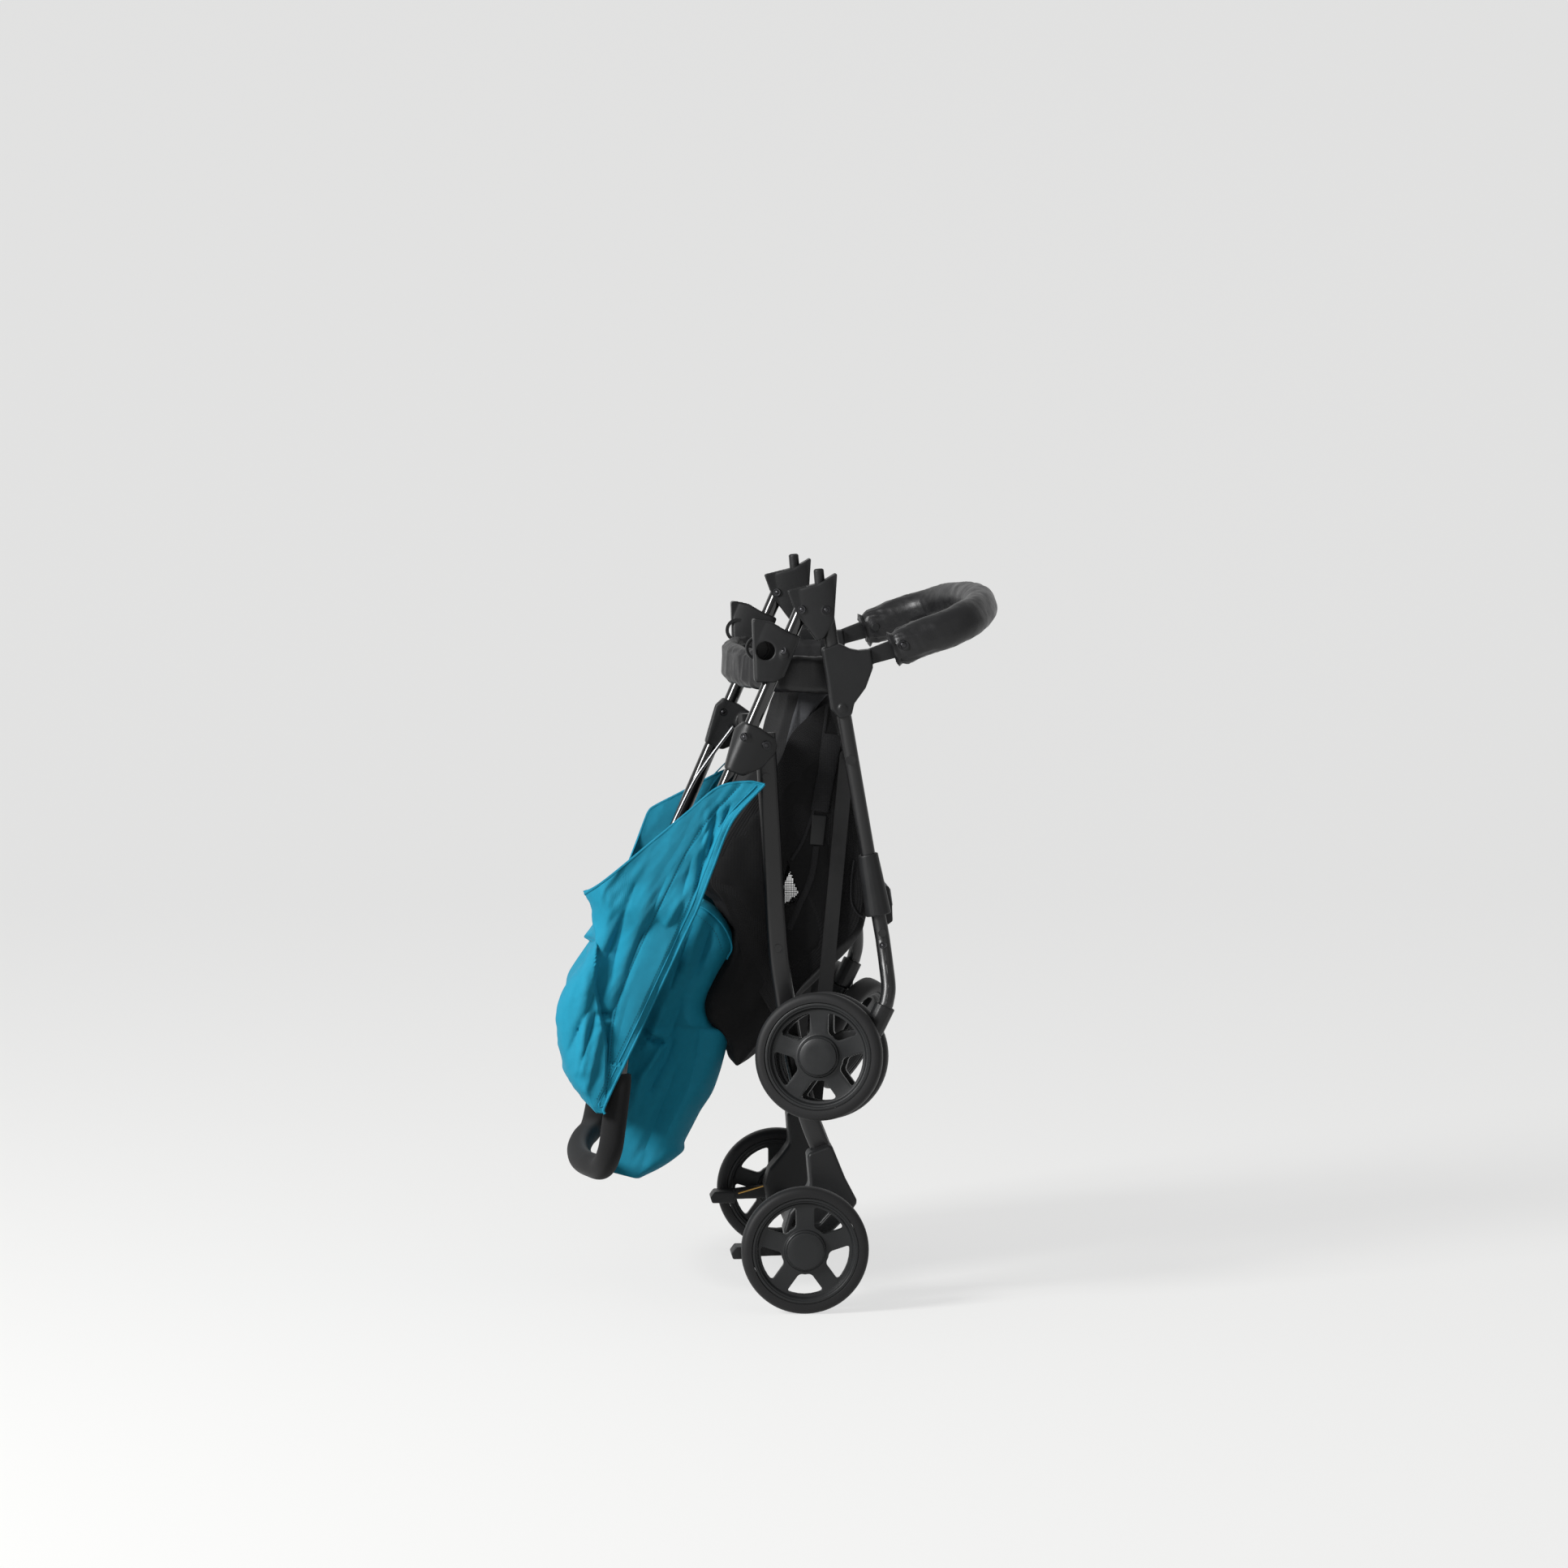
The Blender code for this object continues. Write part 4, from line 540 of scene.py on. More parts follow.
for label, side in sides:
    top = legPoint(handleUser["foldPivot"][1] - legUser["topDrop"])
    end = legPoint(legUser["straightEnd"])
    head = Vector((legUser["head"][0], side * legUser["head"][2], legUser["head"][1]))
    bendPoints = [Vector((end[0], side * handleUser["half"], end[1]))]
    bendPoints += [Vector((x, side * y, z)) for x, z, y in legUser["bend"]]
    bendPoints.append(head - casterDown * legUser["rise"])
    straight = [Vector((top[0] + (end[0] - top[0]) * k / 10, side * handleUser["half"],
                        top[1] + (end[1] - top[1]) * k / 10)) for k in range(10)]
    path = [*straight, *smoothLine(bendPoints, 8), head - casterDown * legUser["stemRise"]]
    leg = tubeAlong(path, handleUser["radius"], handleUser["tubeSides"])
    makePiece(f"frontLeg_{label}", leg, satinPaint, "front_frame")
print("front legs made")


# Rear legs: flat oval tube
rearUser = {
    "half": 0.148, "wide": 0.011, "thin": 0.006, "sideCount": 32,
    "line": [
        (-0.0385, 0.632), (-0.0372, 0.605), (-0.0313, 0.5015), (-0.025, 0.3993), (-0.0183, 0.3462),
        (-0.0065, 0.277), (0.0092, 0.2081), (0.0288, 0.1585), (0.0479, 0.1136),
    ],
}
for label, side in sides:
    path = inPlane(smoothLine([(x, z, 0.0) for x, z in rearUser["line"]], 5), side * rearUser["half"])
    leg = tubeAlong(path, rearUser["thin"] * 1.03, rearUser["sideCount"],
                    flatBy=rearUser["wide"] - rearUser["thin"])
    makePiece(f"rearLeg_{label}", leg, satinPaint, "rear_frame")
print("rear legs made")


# Wheels: foam tyre on a five spoke nylon rim, with a hub cap
wheelUser = {
    "spokes": 5, "spokeHalf": 0.0098, "windowInner": 0.0265, "windowOuter": 0.0488, "edgeRound": 0.0009,
    "windowRound": 0.0035, "spinSteps": 96,
    "tyre": [
        (0.0584, 0.0094), (0.0592, 0.0106), (0.0625, 0.011), (0.066, 0.0105), (0.0684, 0.0088),
        (0.0697, 0.0058), (0.07, 0.0025),
    ],
    "rim": [
        (0.0582, 0.0095), (0.057, 0.0099), (0.0556, 0.0097), (0.0546, 0.0085), (0.0534, 0.0082),
        (0.0524, 0.007), (0.0512, 0.0044), (0.05, 0.004), (0.025, 0.0042), (0.0232, 0.0048),
        (0.0222, 0.0078), (0.0214, 0.0085), (0.0046, 0.0085),
    ],
    "cap": [
        (0.0, 0.0117), (0.012, 0.0116), (0.0185, 0.0113), (0.02, 0.0106), (0.0205, 0.0094),
        (0.0205, 0.0088), (0.0, 0.0088),
    ],
}


def bothFaces(profile):
    return [*profile, *[(r, -y) for r, y in reversed(profile)]]


def tyreForm():
    return spinProfile(bothFaces(wheelUser["tyre"]), wheelUser["spinSteps"])


def windowCutter():
    bm = bmesh.new()
    halfTurn = math.pi / wheelUser["spokes"]
    for spoke in range(wheelUser["spokes"]):
        middle = math.pi + 2 * halfTurn * (spoke + 0.5)
        corners = []
        for radius, count, sense in ((wheelUser["windowOuter"], 6, 1.0), (wheelUser["windowInner"], 2, -1.0)):
            limit = halfTurn - math.asin(wheelUser["spokeHalf"] / radius)
            for k in range(count + 1):
                angle = middle + sense * (2 * k / count - 1) * limit
                corners.append(bm.verts.new((radius * math.sin(angle), -0.02, -radius * math.cos(angle))))
        bm.faces.new(corners)
        ends = [corners[0], corners[6], corners[7], corners[9]]
        bmesh.ops.bevel(bm, geom=ends, offset=wheelUser["windowRound"], affect="VERTICES", segments=4,
                        profile=0.5, material=-1)
    walls = bmesh.ops.extrude_face_region(bm, geom=list(bm.faces))["geom"]
    far = [item for item in walls if isinstance(item, bmesh.types.BMVert)]
    bmesh.ops.translate(bm, vec=(0.0, 0.04, 0.0), verts=far)
    bmesh.ops.recalc_face_normals(bm, faces=bm.faces)
    return bm


def rimMesh():
    blank = spinProfile(bothFaces(wheelUser["rim"]), wheelUser["spinSteps"])
    bmesh.ops.recalc_face_normals(blank, faces=blank.faces)
    rim = looseObject("rimBlank", blank)
    cutter = looseObject("rimCutter", windowCutter())
    cutWith(rim, cutter)
    soften = rim.modifiers.new("soften", "BEVEL")
    soften.width = wheelUser["edgeRound"]
    soften.segments = 2
    soften.limit_method = "ANGLE"
    soften.angle_limit = math.radians(50.0)
    freeze(rim)
    mesh = rim.data
    bpy.data.objects.remove(rim, do_unlink=True)
    bpy.data.objects.remove(cutter, do_unlink=True)
    return mesh


carvedRim = rimMesh()
jointOf = {joint["name"]: joint for joint in frame["joints"]}


def wheelPlace(jointName):
    joint = jointOf[jointName]
    centre = Vector(joint["pos_m"]) - axleMiddle
    turn = Vector((0.0, 1.0, 0.0)).rotation_difference(Vector(joint["axis"]))
    return Matrix.Translation(centre) @ turn.to_matrix().to_4x4()


# kind, the solid that its cap stands for, and whether the cap is on the outer face
wheelKinds = (("rear", "rear_hub_cap", 1.0), ("front_outer", "front_hub_cap", 1.0),
              ("front_inner", None, -1.0))
for label, side in sides:
    for kind, capNode, outwards in wheelKinds:
        place = wheelPlace(f"{kind}_wheel_spin_{label}")
        body = f"{kind}_wheel_{label}"
        tyre = tyreForm()
        bmesh.ops.transform(tyre, matrix=place, verts=tyre.verts)
        makePiece(f"tyre_{body}", tyre, tyreFoam, body, [f"{kind}_tyre_{label}"])
        rim = bmesh.new()
        rim.from_mesh(carvedRim)
        bmesh.ops.transform(rim, matrix=place, verts=rim.verts)
        makePiece(f"rim_{body}", rim, wheelNylon, body, [f"{kind}_rim_{label}"], sharp=30.0)
        cap = spinOpen(wheelUser["cap"], 48)
        flip = Matrix.Rotation(math.pi, 4, "X") if side * outwards < 0 else Matrix()
        bmesh.ops.transform(cap, matrix=place @ flip, verts=cap.verts)
        makePiece(f"cap_{body}", cap, wheelNylon, body, [f"{capNode}_{label}"] if capNode else [])
print("wheels made")


# Mouldings: the solids with rounded edges, crowned over the tube that they hold.
# For each: voxel size, smoothing passes and how much thicker its middle gets
softUser = {
    "hinge_cup": (0.0011, 8, 0.16), "lock_collar": (0.0011, 8, 0.18), "pivot_bracket": (0.0011, 8, 0.08),
    "caster_socket": (0.0011, 5, 0.0), "caster_fork": (0.0012, 5, 0.0), "footrest_sleeve": (0.0011, 5, 0.0),
    "rear_foot": (0.0012, 5, 0.0), "brake_lever": (0.0011, 4, 0.0), "bumper_bracket": (0.0011, 5, 0.0),
    "lock_pin": (0.0008, 4, 0.0),
}
bodyOf = {node: body for body, row in frame["record"]["behaviour"]["bodies"].items() for node in row}
legLine = [legPoint(0.82), legPoint(0.60)]
crownLine = {"hinge_cup": legLine, "lock_collar": axis, "pivot_bracket": axis}


def roundedCopy(nodeName, part, user):
    voxel, passes, crown = user
    bm = bmesh.new()
    bm.from_mesh(nodes[nodeName].data)
    bmesh.ops.remove_doubles(bm, verts=bm.verts, dist=0.00002)
    piece = looseObject(f"{nodeName}_rounded", bm)
    voxelRemesh(piece, voxel)
    soften = piece.modifiers.new("soften", "SMOOTH")
    soften.factor = 0.5
    soften.iterations = passes
    freeze(piece)
    if crown:
        low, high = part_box(nodeName)
        middle = (low.y + high.y) / 2
        gaps = [offLine(v.co.x - axleMiddle.x, v.co.z, crownLine[part]) for v in piece.data.vertices]
        reach = {True: max(0.004, max(gaps)), False: max(0.004, -min(gaps))}
        for vert, gap in zip(piece.data.vertices, gaps):
            share = abs(gap) / reach[gap > 0]
            beside = vert.co.y - middle
            scaled = abs(beside) * (1.0 + crown) * math.sqrt(1.0 - 0.80 * share * share)
            kept = min(abs(beside), handleUser["radius"] + 0.0022)  # the bore keeps its width
            vert.co.y = middle + math.copysign(max(scaled, kept), beside)
    piece.data.shade_smooth()
    piece.data.materials.clear()
    piece.data.materials.append(slotFinish[nodeSlot[nodeName]])
    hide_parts(nodeName)
    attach(piece, bodyOf[nodeName])
    return piece


rounded = {}
for label, _ in sides:
    for part, user in softUser.items():
        rounded[f"{part}_{label}"] = roundedCopy(f"{part}_{label}", part, user)
print("mouldings made")

# Rivets and bolts: pressed heads in a shallow ring, and the rim of the collars' finger holes.
# Places: kind, what carries it, x, z, outer or inner face, size
rivetUser = {
    "carriers": {"frontLeg": "front_frame", "rearLeg": "rear_frame", "bumperCover": "bumper_bar"},
    "rivet": [
        (0.0, 0.0012), (0.0014, 0.0011), (0.0023, 0.0005), (0.0026, -0.0001), (0.0033, -0.0001),
        (0.0037, 0.0007), (0.0043, 0.0007), (0.0048, -0.0012), (0.0, -0.0012),
    ],
    "rimBeside": 0.0125,
    "rim": [
        (0.0098, 0.0003), (0.011, 0.0003), (0.0117, 0.0014), (0.013, 0.0014), (0.0138, -0.0015),
        (0.0098, -0.0015),
    ],
    "places": [
        ("rivet", "hinge_cup", -0.0021, 0.7699, 1, 1.0), ("rivet", "hinge_cup", 0.0245, 0.7698, 1, 1.0),
        ("rivet", "hinge_cup", -0.0027, 0.7701, -1, 1.0), ("rivet", "lock_collar", -0.0228, 0.7256, 1, 0.9),
        ("rim", "lock_collar", -0.0485, 0.7266, 1, 1.0),
        ("rivet", "pivot_bracket", -0.0657, 0.6317, 1, 1.0),
        ("rivet", "pivot_bracket", -0.0405, 0.6221, 1, 1.0),
        ("rivet", "pivot_bracket", -0.0649, 0.632, -1, 1.0), ("rivet", "frontLeg", 0.0415, 0.6627, 1, 0.9),
        ("rivet", "frontLeg", 0.0519, 0.6062, 1, 0.8), ("rivet", "frontLeg", 0.0875, 0.4017, 1, 0.9),
        ("rivet", "rearLeg", -0.0237, 0.3939, 1, 0.9), ("rivet", "bumperCover", 0.1093, 0.731, 1, 1.1),
        ("rivet", "bumperCover", 0.1083, 0.7314, -1, 1.1),
    ],
}


def faceUnder(target, x, z, side):
    start = Vector((x, side * 0.40, z)) + axleMiddle
    hit, point, normal, _ = target.ray_cast(start, Vector((0.0, -side, 0.0)))
    if not hit:
        raise ValueError(f"no face at {x}, {z}")
    return point - axleMiddle, normal


def headOn(name, kind, point, normal, size, body):
    rim = kind == "rim"
    bm = spinProfile(rivetUser["rim"], 40) if rim else spinOpen(rivetUser["rivet"], 28)
    turn = Vector((0.0, 1.0, 0.0)).rotation_difference(normal).to_matrix().to_4x4()
    bmesh.ops.scale(bm, vec=(size, size, size), verts=bm.verts)
    bmesh.ops.transform(bm, matrix=Matrix.Translation(point) @ turn, verts=bm.verts)
    makePiece(name, bm, nylon if rim else blackRivet, body)


# Canopy bow: thin plated wire
bowUser = {
    "half": 0.17, "radius": 0.0021, "pivot": (-0.0542, 0.6143),
    "line": [
        (-0.0854, 0.5726, 0.17), (-0.105, 0.541, 0.169), (-0.15, 0.447, 0.165), (-0.19, 0.372, 0.152),
        (-0.207, 0.342, 0.12), (-0.214, 0.329, 0.06),
    ],
    "middle": (-0.2155, 0.326),
}
pivot = bowUser["pivot"]
half = [(*pivot, bowUser["half"] + 0.0095), (*pivot, bowUser["half"] + 0.0013),
        (pivot[0] - 0.003, pivot[1] - 0.004, bowUser["half"]), *bowUser["line"]]
path = smoothLine(mirrored(half, bowUser["middle"]), 6)
bow = tubeAlong(path, bowUser["radius"], 12, hint=(1.0, 0.0, 0.0))
makePiece("bowWire", bow, zincSteel, "canopy_bow", ["canopy_bow"])
print("bow made")


# Bumper bar: U shaped foam pad under an embossed vinyl cover, gathered at its ends
bumperUser = {
    "radius": 0.018, "sideCount": 64,
    "line": [
        (0.097, 0.7245, 0.185), (0.125, 0.7352, 0.185), (0.155, 0.7467, 0.182), (0.18, 0.7562, 0.165),
        (0.197, 0.7627, 0.125), (0.207, 0.7665, 0.07),
    ],
    "middle": (0.211, 0.768), "gather": 0.003, "gatherReach": 0.06, "foldMm": 9.0, "swell": 0.003,
    "tall": 0.003, "ends": (0.78, 1.0, 0.96, 0.88, 0.93, 0.97),
}


def wrinkled(bm, user, ends, limit):
    # gathers that run along the cover near its ends, and creases round it further on
    bm.normal_update()
    fold = perMetre(user["foldMm"])
    moves = []
    for vert in bm.verts:
        near = max(0.0, 1.0 - min((vert.co - end).length for end in ends) / user["gatherReach"])
        x, y, z = vert.co
        flute = noise.noise(Vector((x * fold * 0.25, y * fold * 1.7, z * fold * 1.7)))
        crease = noise.noise(Vector((x * fold + z * fold * 0.6, y * fold, z * 22.0)))
        broad = noise.noise(vert.co * fold * 0.3 + Vector((3.1, 0.0, 0.0)))
        shift = user["gather"] * (near * flute + (0.25 + 0.3 * near) * (abs(crease) - 0.25))
        moves.append(vert.normal * max(-limit, min(0.0024, shift + user["swell"] * (broad * 0.6 - 0.15))))
    for vert, move in zip(bm.verts, moves):
        vert.co += move


path = smoothLine(mirrored(bumperUser["line"], bumperUser["middle"]), 14)
bumper = tubeAlong(path, bumperUser["radius"], bumperUser["sideCount"],
                   growth=tapered(path, bumperUser["ends"]), flatBy=bumperUser["tall"])
wrinkled(bumper, bumperUser, [path[0], path[-1]], 0.0035)
bumperPiece = makePiece("bumperCover", bumper, vinyl, "bumper_bar", ["bumper_bar"], sharp=60.0)

# Rear hoop: the same cover, thinner
hoopUser = {
    "radius": 0.01, "sideCount": 48, "front": 0.046, "level": 0.7, "half": 0.158,
    "line": [
        (0.01, 0.7, 0.158), (-0.015, 0.701, 0.155), (-0.038, 0.703, 0.138), (-0.054, 0.7045, 0.105),
        (-0.063, 0.7055, 0.055),
    ],
    "middle": (-0.066, 0.706), "gather": 0.0034, "gatherReach": 0.13, "foldMm": 11.0, "swell": 0.0022,
    "tall": 0.011, "drop": 0.004,
}
half = [(hoopUser["front"], hoopUser["level"], hoopUser["half"]), (0.028, 0.7, 0.158), *hoopUser["line"]]
path = smoothLine(mirrored(half, hoopUser["middle"]), 12)
path = [point - Vector((0.0, 0.0, hoopUser["drop"])) for point in path]
hoop = tubeAlong(path, hoopUser["radius"], hoopUser["sideCount"], flatBy=hoopUser["tall"])
wrinkled(hoop, hoopUser, [Vector((-0.060, -0.10, 0.705)), Vector((-0.060, 0.10, 0.705))], 0.0025)
hoopPiece = makePiece("hoopCover", hoop, vinyl, "front_frame", ["rear_hoop"], sharp=60.0)
print("bumper and hoop made")

for kind, piece, x, z, facing, size in rivetUser["places"]:
    for label, side in sides:
        target = rounded.get(f"{piece}_{label}") or bpy.data.objects.get(f"{piece}_{label}") or bumperPiece
        beside = rivetUser["rimBeside"] if kind == "rim" else 0.0  # beside the hole that the rim goes round
        point, normal = faceUnder(target, x + beside, z, side * facing)
        if kind == "rim":
            point, normal = Vector((x, point.y, z)), Vector((0.0, side, 0.0))
        body = rivetUser["carriers"].get(piece) or bodyOf[f"{piece}_{label}"]
        name = f"{kind}_{piece}_{label}_{round(1000 * x)}_{round(1000 * z)}"
        headOn(name, kind, point, normal, size, body)
print("rivets made")


def lineAt(points, t):
    # the point at a share t of the way along a smooth line of points
    place = t * (len(points) - 1)
    k = min(int(place), len(points) - 2)
    return points[k].lerp(points[k + 1], place - k)


def evenLine(points, count):
    # a smooth line through the points, at even steps of its length
    fine = smoothLine(points, 24)
    lengths = [0.0]
    for a, b in zip(fine, fine[1:]):
        lengths.append(lengths[-1] + (b - a).length)
    found = []
    k = 0
    for step in range(count + 1):
        goal = lengths[-1] * step / count
        while k < len(lengths) - 2 and lengths[k + 1] < goal:
            k += 1
        share = (goal - lengths[k]) / max(1e-9, lengths[k + 1] - lengths[k])
        found.append(fine[k].lerp(fine[k + 1], share))
    return found


def flatPoints(points):
    return [Vector((x, z, 0.0)) for x, z in points]


def foldHeight(x, z, folds):
    # sum of soft ridges and sharp valleys; each runs along a line with a width and a height
    total = 0.0
    for (x0, z0), (x1, z1), width, height in folds:
        along = Vector((x1 - x0, z1 - z0))
        share = max(0.0, min(1.0, Vector((x - x0, z - z0)).dot(along) / along.length_squared))
        gap = math.hypot(x - x0 - along.x * share, z - z0 - along.y * share)
        form = math.exp(-(gap / width) ** 2) if height > 0 else math.exp(-1.2 * gap / width)
        total += height * form * (0.35 + 0.65 * math.sin(math.pi * (0.1 + 0.8 * share)))
    return total


def clothGrid(across, down):
    # a flat grid from 0 to 1 both ways, with its own map
    bm = bmesh.new()
    bm.loops.layers.uv.new("flat")
    bmesh.ops.create_grid(bm, x_segments=across, y_segments=down, size=0.5, calc_uvs=True)
    bmesh.ops.translate(bm, vec=(0.5, 0.5, 0.0), verts=bm.verts)
    return bm


def stretchMap(bm, width, length):
    layer = bm.loops.layers.uv.verify()
    for face in bm.faces:
        for loop in face.loops:
            loop[layer].uv = (loop[layer].uv.x * width, loop[layer].uv.y * length)


# Hood: one sheet over both handle tubes, from its right edge round the closed back to its left edge
hoodUser = {
    "across": 236, "down": 150, "reach": 0.2002, "corner": 0.035, "cornerStart": 0.72, "sideShare": 0.38,
    "sag": 0.012, "wave": 0.016, "thick": 0.001,
    "edge": [
        (-0.0431, 0.58), (-0.0785, 0.5398), (-0.0999, 0.4876), (-0.1215, 0.4326), (-0.1553, 0.359),
        (-0.186, 0.2941), (-0.2172, 0.231), (-0.2181, 0.2203),
    ],
    "hem": [
        (-0.0431, 0.58), (-0.062, 0.583), (-0.0935, 0.5772), (-0.1263, 0.5508), (-0.1688, 0.5156),
        (-0.2175, 0.4761), (-0.2396, 0.4611),
    ],
    "back": [
        (-0.2396, 0.4611), (-0.226, 0.416), (-0.25, 0.378), (-0.2663, 0.3471), (-0.2717, 0.3231),
        (-0.2701, 0.2936), (-0.2596, 0.2552), (-0.2446, 0.2354), (-0.2295, 0.2218),
    ],
    "farHem": [
        (-0.0431, 0.568), (-0.0701, 0.558), (-0.11, 0.5375), (-0.143, 0.5205), (-0.15, 0.514),
        (-0.154, 0.505), (-0.165, 0.476), (-0.175, 0.45),
    ],
    "farBack": [
        (-0.175, 0.45), (-0.18, 0.42), (-0.205, 0.384), (-0.23, 0.3471), (-0.242, 0.3231), (-0.242, 0.2936),
        (-0.236, 0.2552), (-0.229, 0.2354),
    ],
    "seam": [
        (-0.07, 0.579), (-0.1051, 0.5418), (-0.1281, 0.5065), (-0.1494, 0.464), (-0.169, 0.4224),
        (-0.1868, 0.3825), (-0.2001, 0.3515), (-0.2082, 0.3186), (-0.2118, 0.2758), (-0.2165, 0.242),
    ],
    "crease": [
        (-0.2396, 0.4611), (-0.2247, 0.4166), (-0.2257, 0.3873), (-0.2284, 0.3606), (-0.2223, 0.3294),
        (-0.2153, 0.2937), (-0.217, 0.25),
    ],
    "welt": [
        (-0.052, 0.576), (-0.087, 0.542), (-0.1085, 0.49), (-0.1301, 0.435), (-0.164, 0.361),
        (-0.1947, 0.296), (-0.223, 0.235),
    ],
    "creaseDepth": 0.013, "creaseWide": 0.004, "stand": 0.005, "overTube": -0.0035, "between": 0.012,
    "overGrip": 0.0004, "most": 0.014, "relief": 1.7, "openFrom": Vector((-0.1409, 0.0, 0.4470)),
    "openTo": Vector((-0.1868, 0.0, 0.4668)),
    "folds": [
        ((-0.081, 0.556), (-0.09, 0.534), 0.004, -0.004), ((-0.086, 0.542), (-0.101, 0.508), 0.005, 0.003),
        ((-0.095, 0.53), (-0.106, 0.5), 0.0045, -0.0046),
        ((-0.108, 0.498), (-0.118, 0.465), 0.0045, -0.0036),
        ((-0.133, 0.445), (-0.147, 0.408), 0.0055, -0.0034), ((-0.16, 0.43), (-0.18, 0.385), 0.006, -0.003),
        ((-0.195, 0.435), (-0.21, 0.37), 0.006, -0.004), ((-0.165, 0.345), (-0.185, 0.3), 0.0055, -0.0034),
        ((-0.24, 0.35), (-0.25, 0.285), 0.006, -0.0034),
        ((-0.0935, 0.556), (-0.111, 0.519), 0.0045, -0.0034),
        ((-0.104, 0.548), (-0.108, 0.508), 0.004, 0.0022),
        ((-0.096, 0.545), (-0.103, 0.513), 0.0038, -0.003),
        ((-0.106, 0.518), (-0.116, 0.48), 0.0045, -0.0026), ((-0.122, 0.5), (-0.133, 0.46), 0.006, -0.0022),
        ((-0.135, 0.46), (-0.15, 0.42), 0.007, 0.0022),
        ((-0.1689, 0.4535), (-0.2152, 0.3382), 0.011, 0.0046),
        ((-0.185, 0.47), (-0.214, 0.39), 0.01, -0.0048), ((-0.215, 0.46), (-0.218, 0.405), 0.007, 0.004),
        ((-0.15, 0.48), (-0.19, 0.38), 0.012, -0.003),
        ((-0.1558, 0.3911), (-0.1781, 0.3201), 0.007, -0.0036),
        ((-0.148, 0.4), (-0.165, 0.355), 0.006, 0.0028), ((-0.18, 0.35), (-0.202, 0.28), 0.007, 0.0034),
        ((-0.192, 0.345), (-0.206, 0.29), 0.0055, -0.003),
        ((-0.2241, 0.3294), (-0.1993, 0.3274), 0.0032, -0.0044),
        ((-0.223, 0.321), (-0.203, 0.319), 0.0034, 0.0026), ((-0.24, 0.38), (-0.242, 0.27), 0.008, 0.005),
        ((-0.23, 0.35), (-0.256, 0.29), 0.005, -0.0036), ((-0.228, 0.33), (-0.248, 0.26), 0.005, -0.0034),
        ((-0.224, 0.31), (-0.238, 0.245), 0.0045, 0.003), ((-0.245, 0.39), (-0.264, 0.33), 0.006, 0.003),
    ],
    "trimRadius": 0.0016, "stitchMm": 3.4, "stitchLong": 0.0019, "stitchRadius": 0.00045,
    "secondShift": (-0.0062, 0.0025), "secondTop": (-0.052, 0.579), "secondFoot": (-0.22, 0.229),
    "stitchShift": (-0.0105, 0.004),
}


def smoothStep(value):
    t = max(0.0, min(1.0, value))
    return t * t * (3.0 - 2.0 * t)


def longRipple(x, z, seed, lean, lengthMm, wideMm):
    # noise drawn out along a leaning direction, like creases that run with the pull of the cloth
    ahead = x * math.sin(lean) - z * math.cos(lean)
    across = x * math.cos(lean) + z * math.sin(lean)
    return noise.noise(Vector((across * perMetre(wideMm), ahead * perMetre(lengthMm), seed)))


def hoodLift(x, z, side, user=hoodUser):
    # how far one side of the hood stands out of its plane
    if side > 0:
        slow = 0.0030 * longRipple(x, z, 5.0, -0.5, 90.0, 24.0)
        return slow + 0.0012 * longRipple(x, z, 8.0, -0.5, 40.0, 11.0)
    total = user["relief"] * foldHeight(x, z, user["folds"])
    left = offLine(x, z, user["crease"])
    fade = smoothStep((0.452 - z) / 0.045) * smoothStep((z - 0.232) / 0.050)
    total -= user["creaseDepth"] * fade * smoothStep(left / user["creaseWide"] + 0.5)
    for line, depth in ((user["seam"], 0.0016), (user["welt"], 0.0014)):
        total -= depth * math.exp(-abs(offLine(x, z, line)) / 0.0016)  # the stitches pull the cloth in
    slow = 0.0020 * longRipple(x, z, 1.0, -0.45, 70.0, 15.0)
    return total + (slow + 0.0010 * longRipple(x, z, 2.0, -0.6, 30.0, 7.0))


def clearOfTubes(x, z, lift, user=hoodUser):
    # the cloth lies over the handle tubes and the foam grip, and may sink between them
    gap = abs(offLine(x, z, axis))
    floorLift = user["overTube"] - user["between"] * smoothStep((gap - 0.009) / 0.020)
    if z < handleUser["foamTop"] + 0.012:
        floorLift = max(floorLift, user["overGrip"] - 0.3 * max(0.0, gap - 0.014))
    raised = lift + user["stand"]
    return raised if raised > floorLift else floorLift + 0.15 * max(-0.010, raised - floorLift)


def fromTo(points, steps):
    return evenLine(flatPoints(points), steps)


def sidePatch(openEdge, closedEdge, hem, steps=140):
    # one side of a sheet: its point at a share of its run and a share of its height
    starts, ends = fromTo(openEdge, steps), fromTo(closedEdge, steps)
    top = fromTo(hem, steps) if hem else None

    def point(s, v):
        found = lineAt(starts, v).lerp(lineAt(ends, v), s)
        if top:
            found = found + (lineAt(top, s) - starts[0].lerp(ends[0], s)) * (1.0 - v) ** 3
        return found

    return point


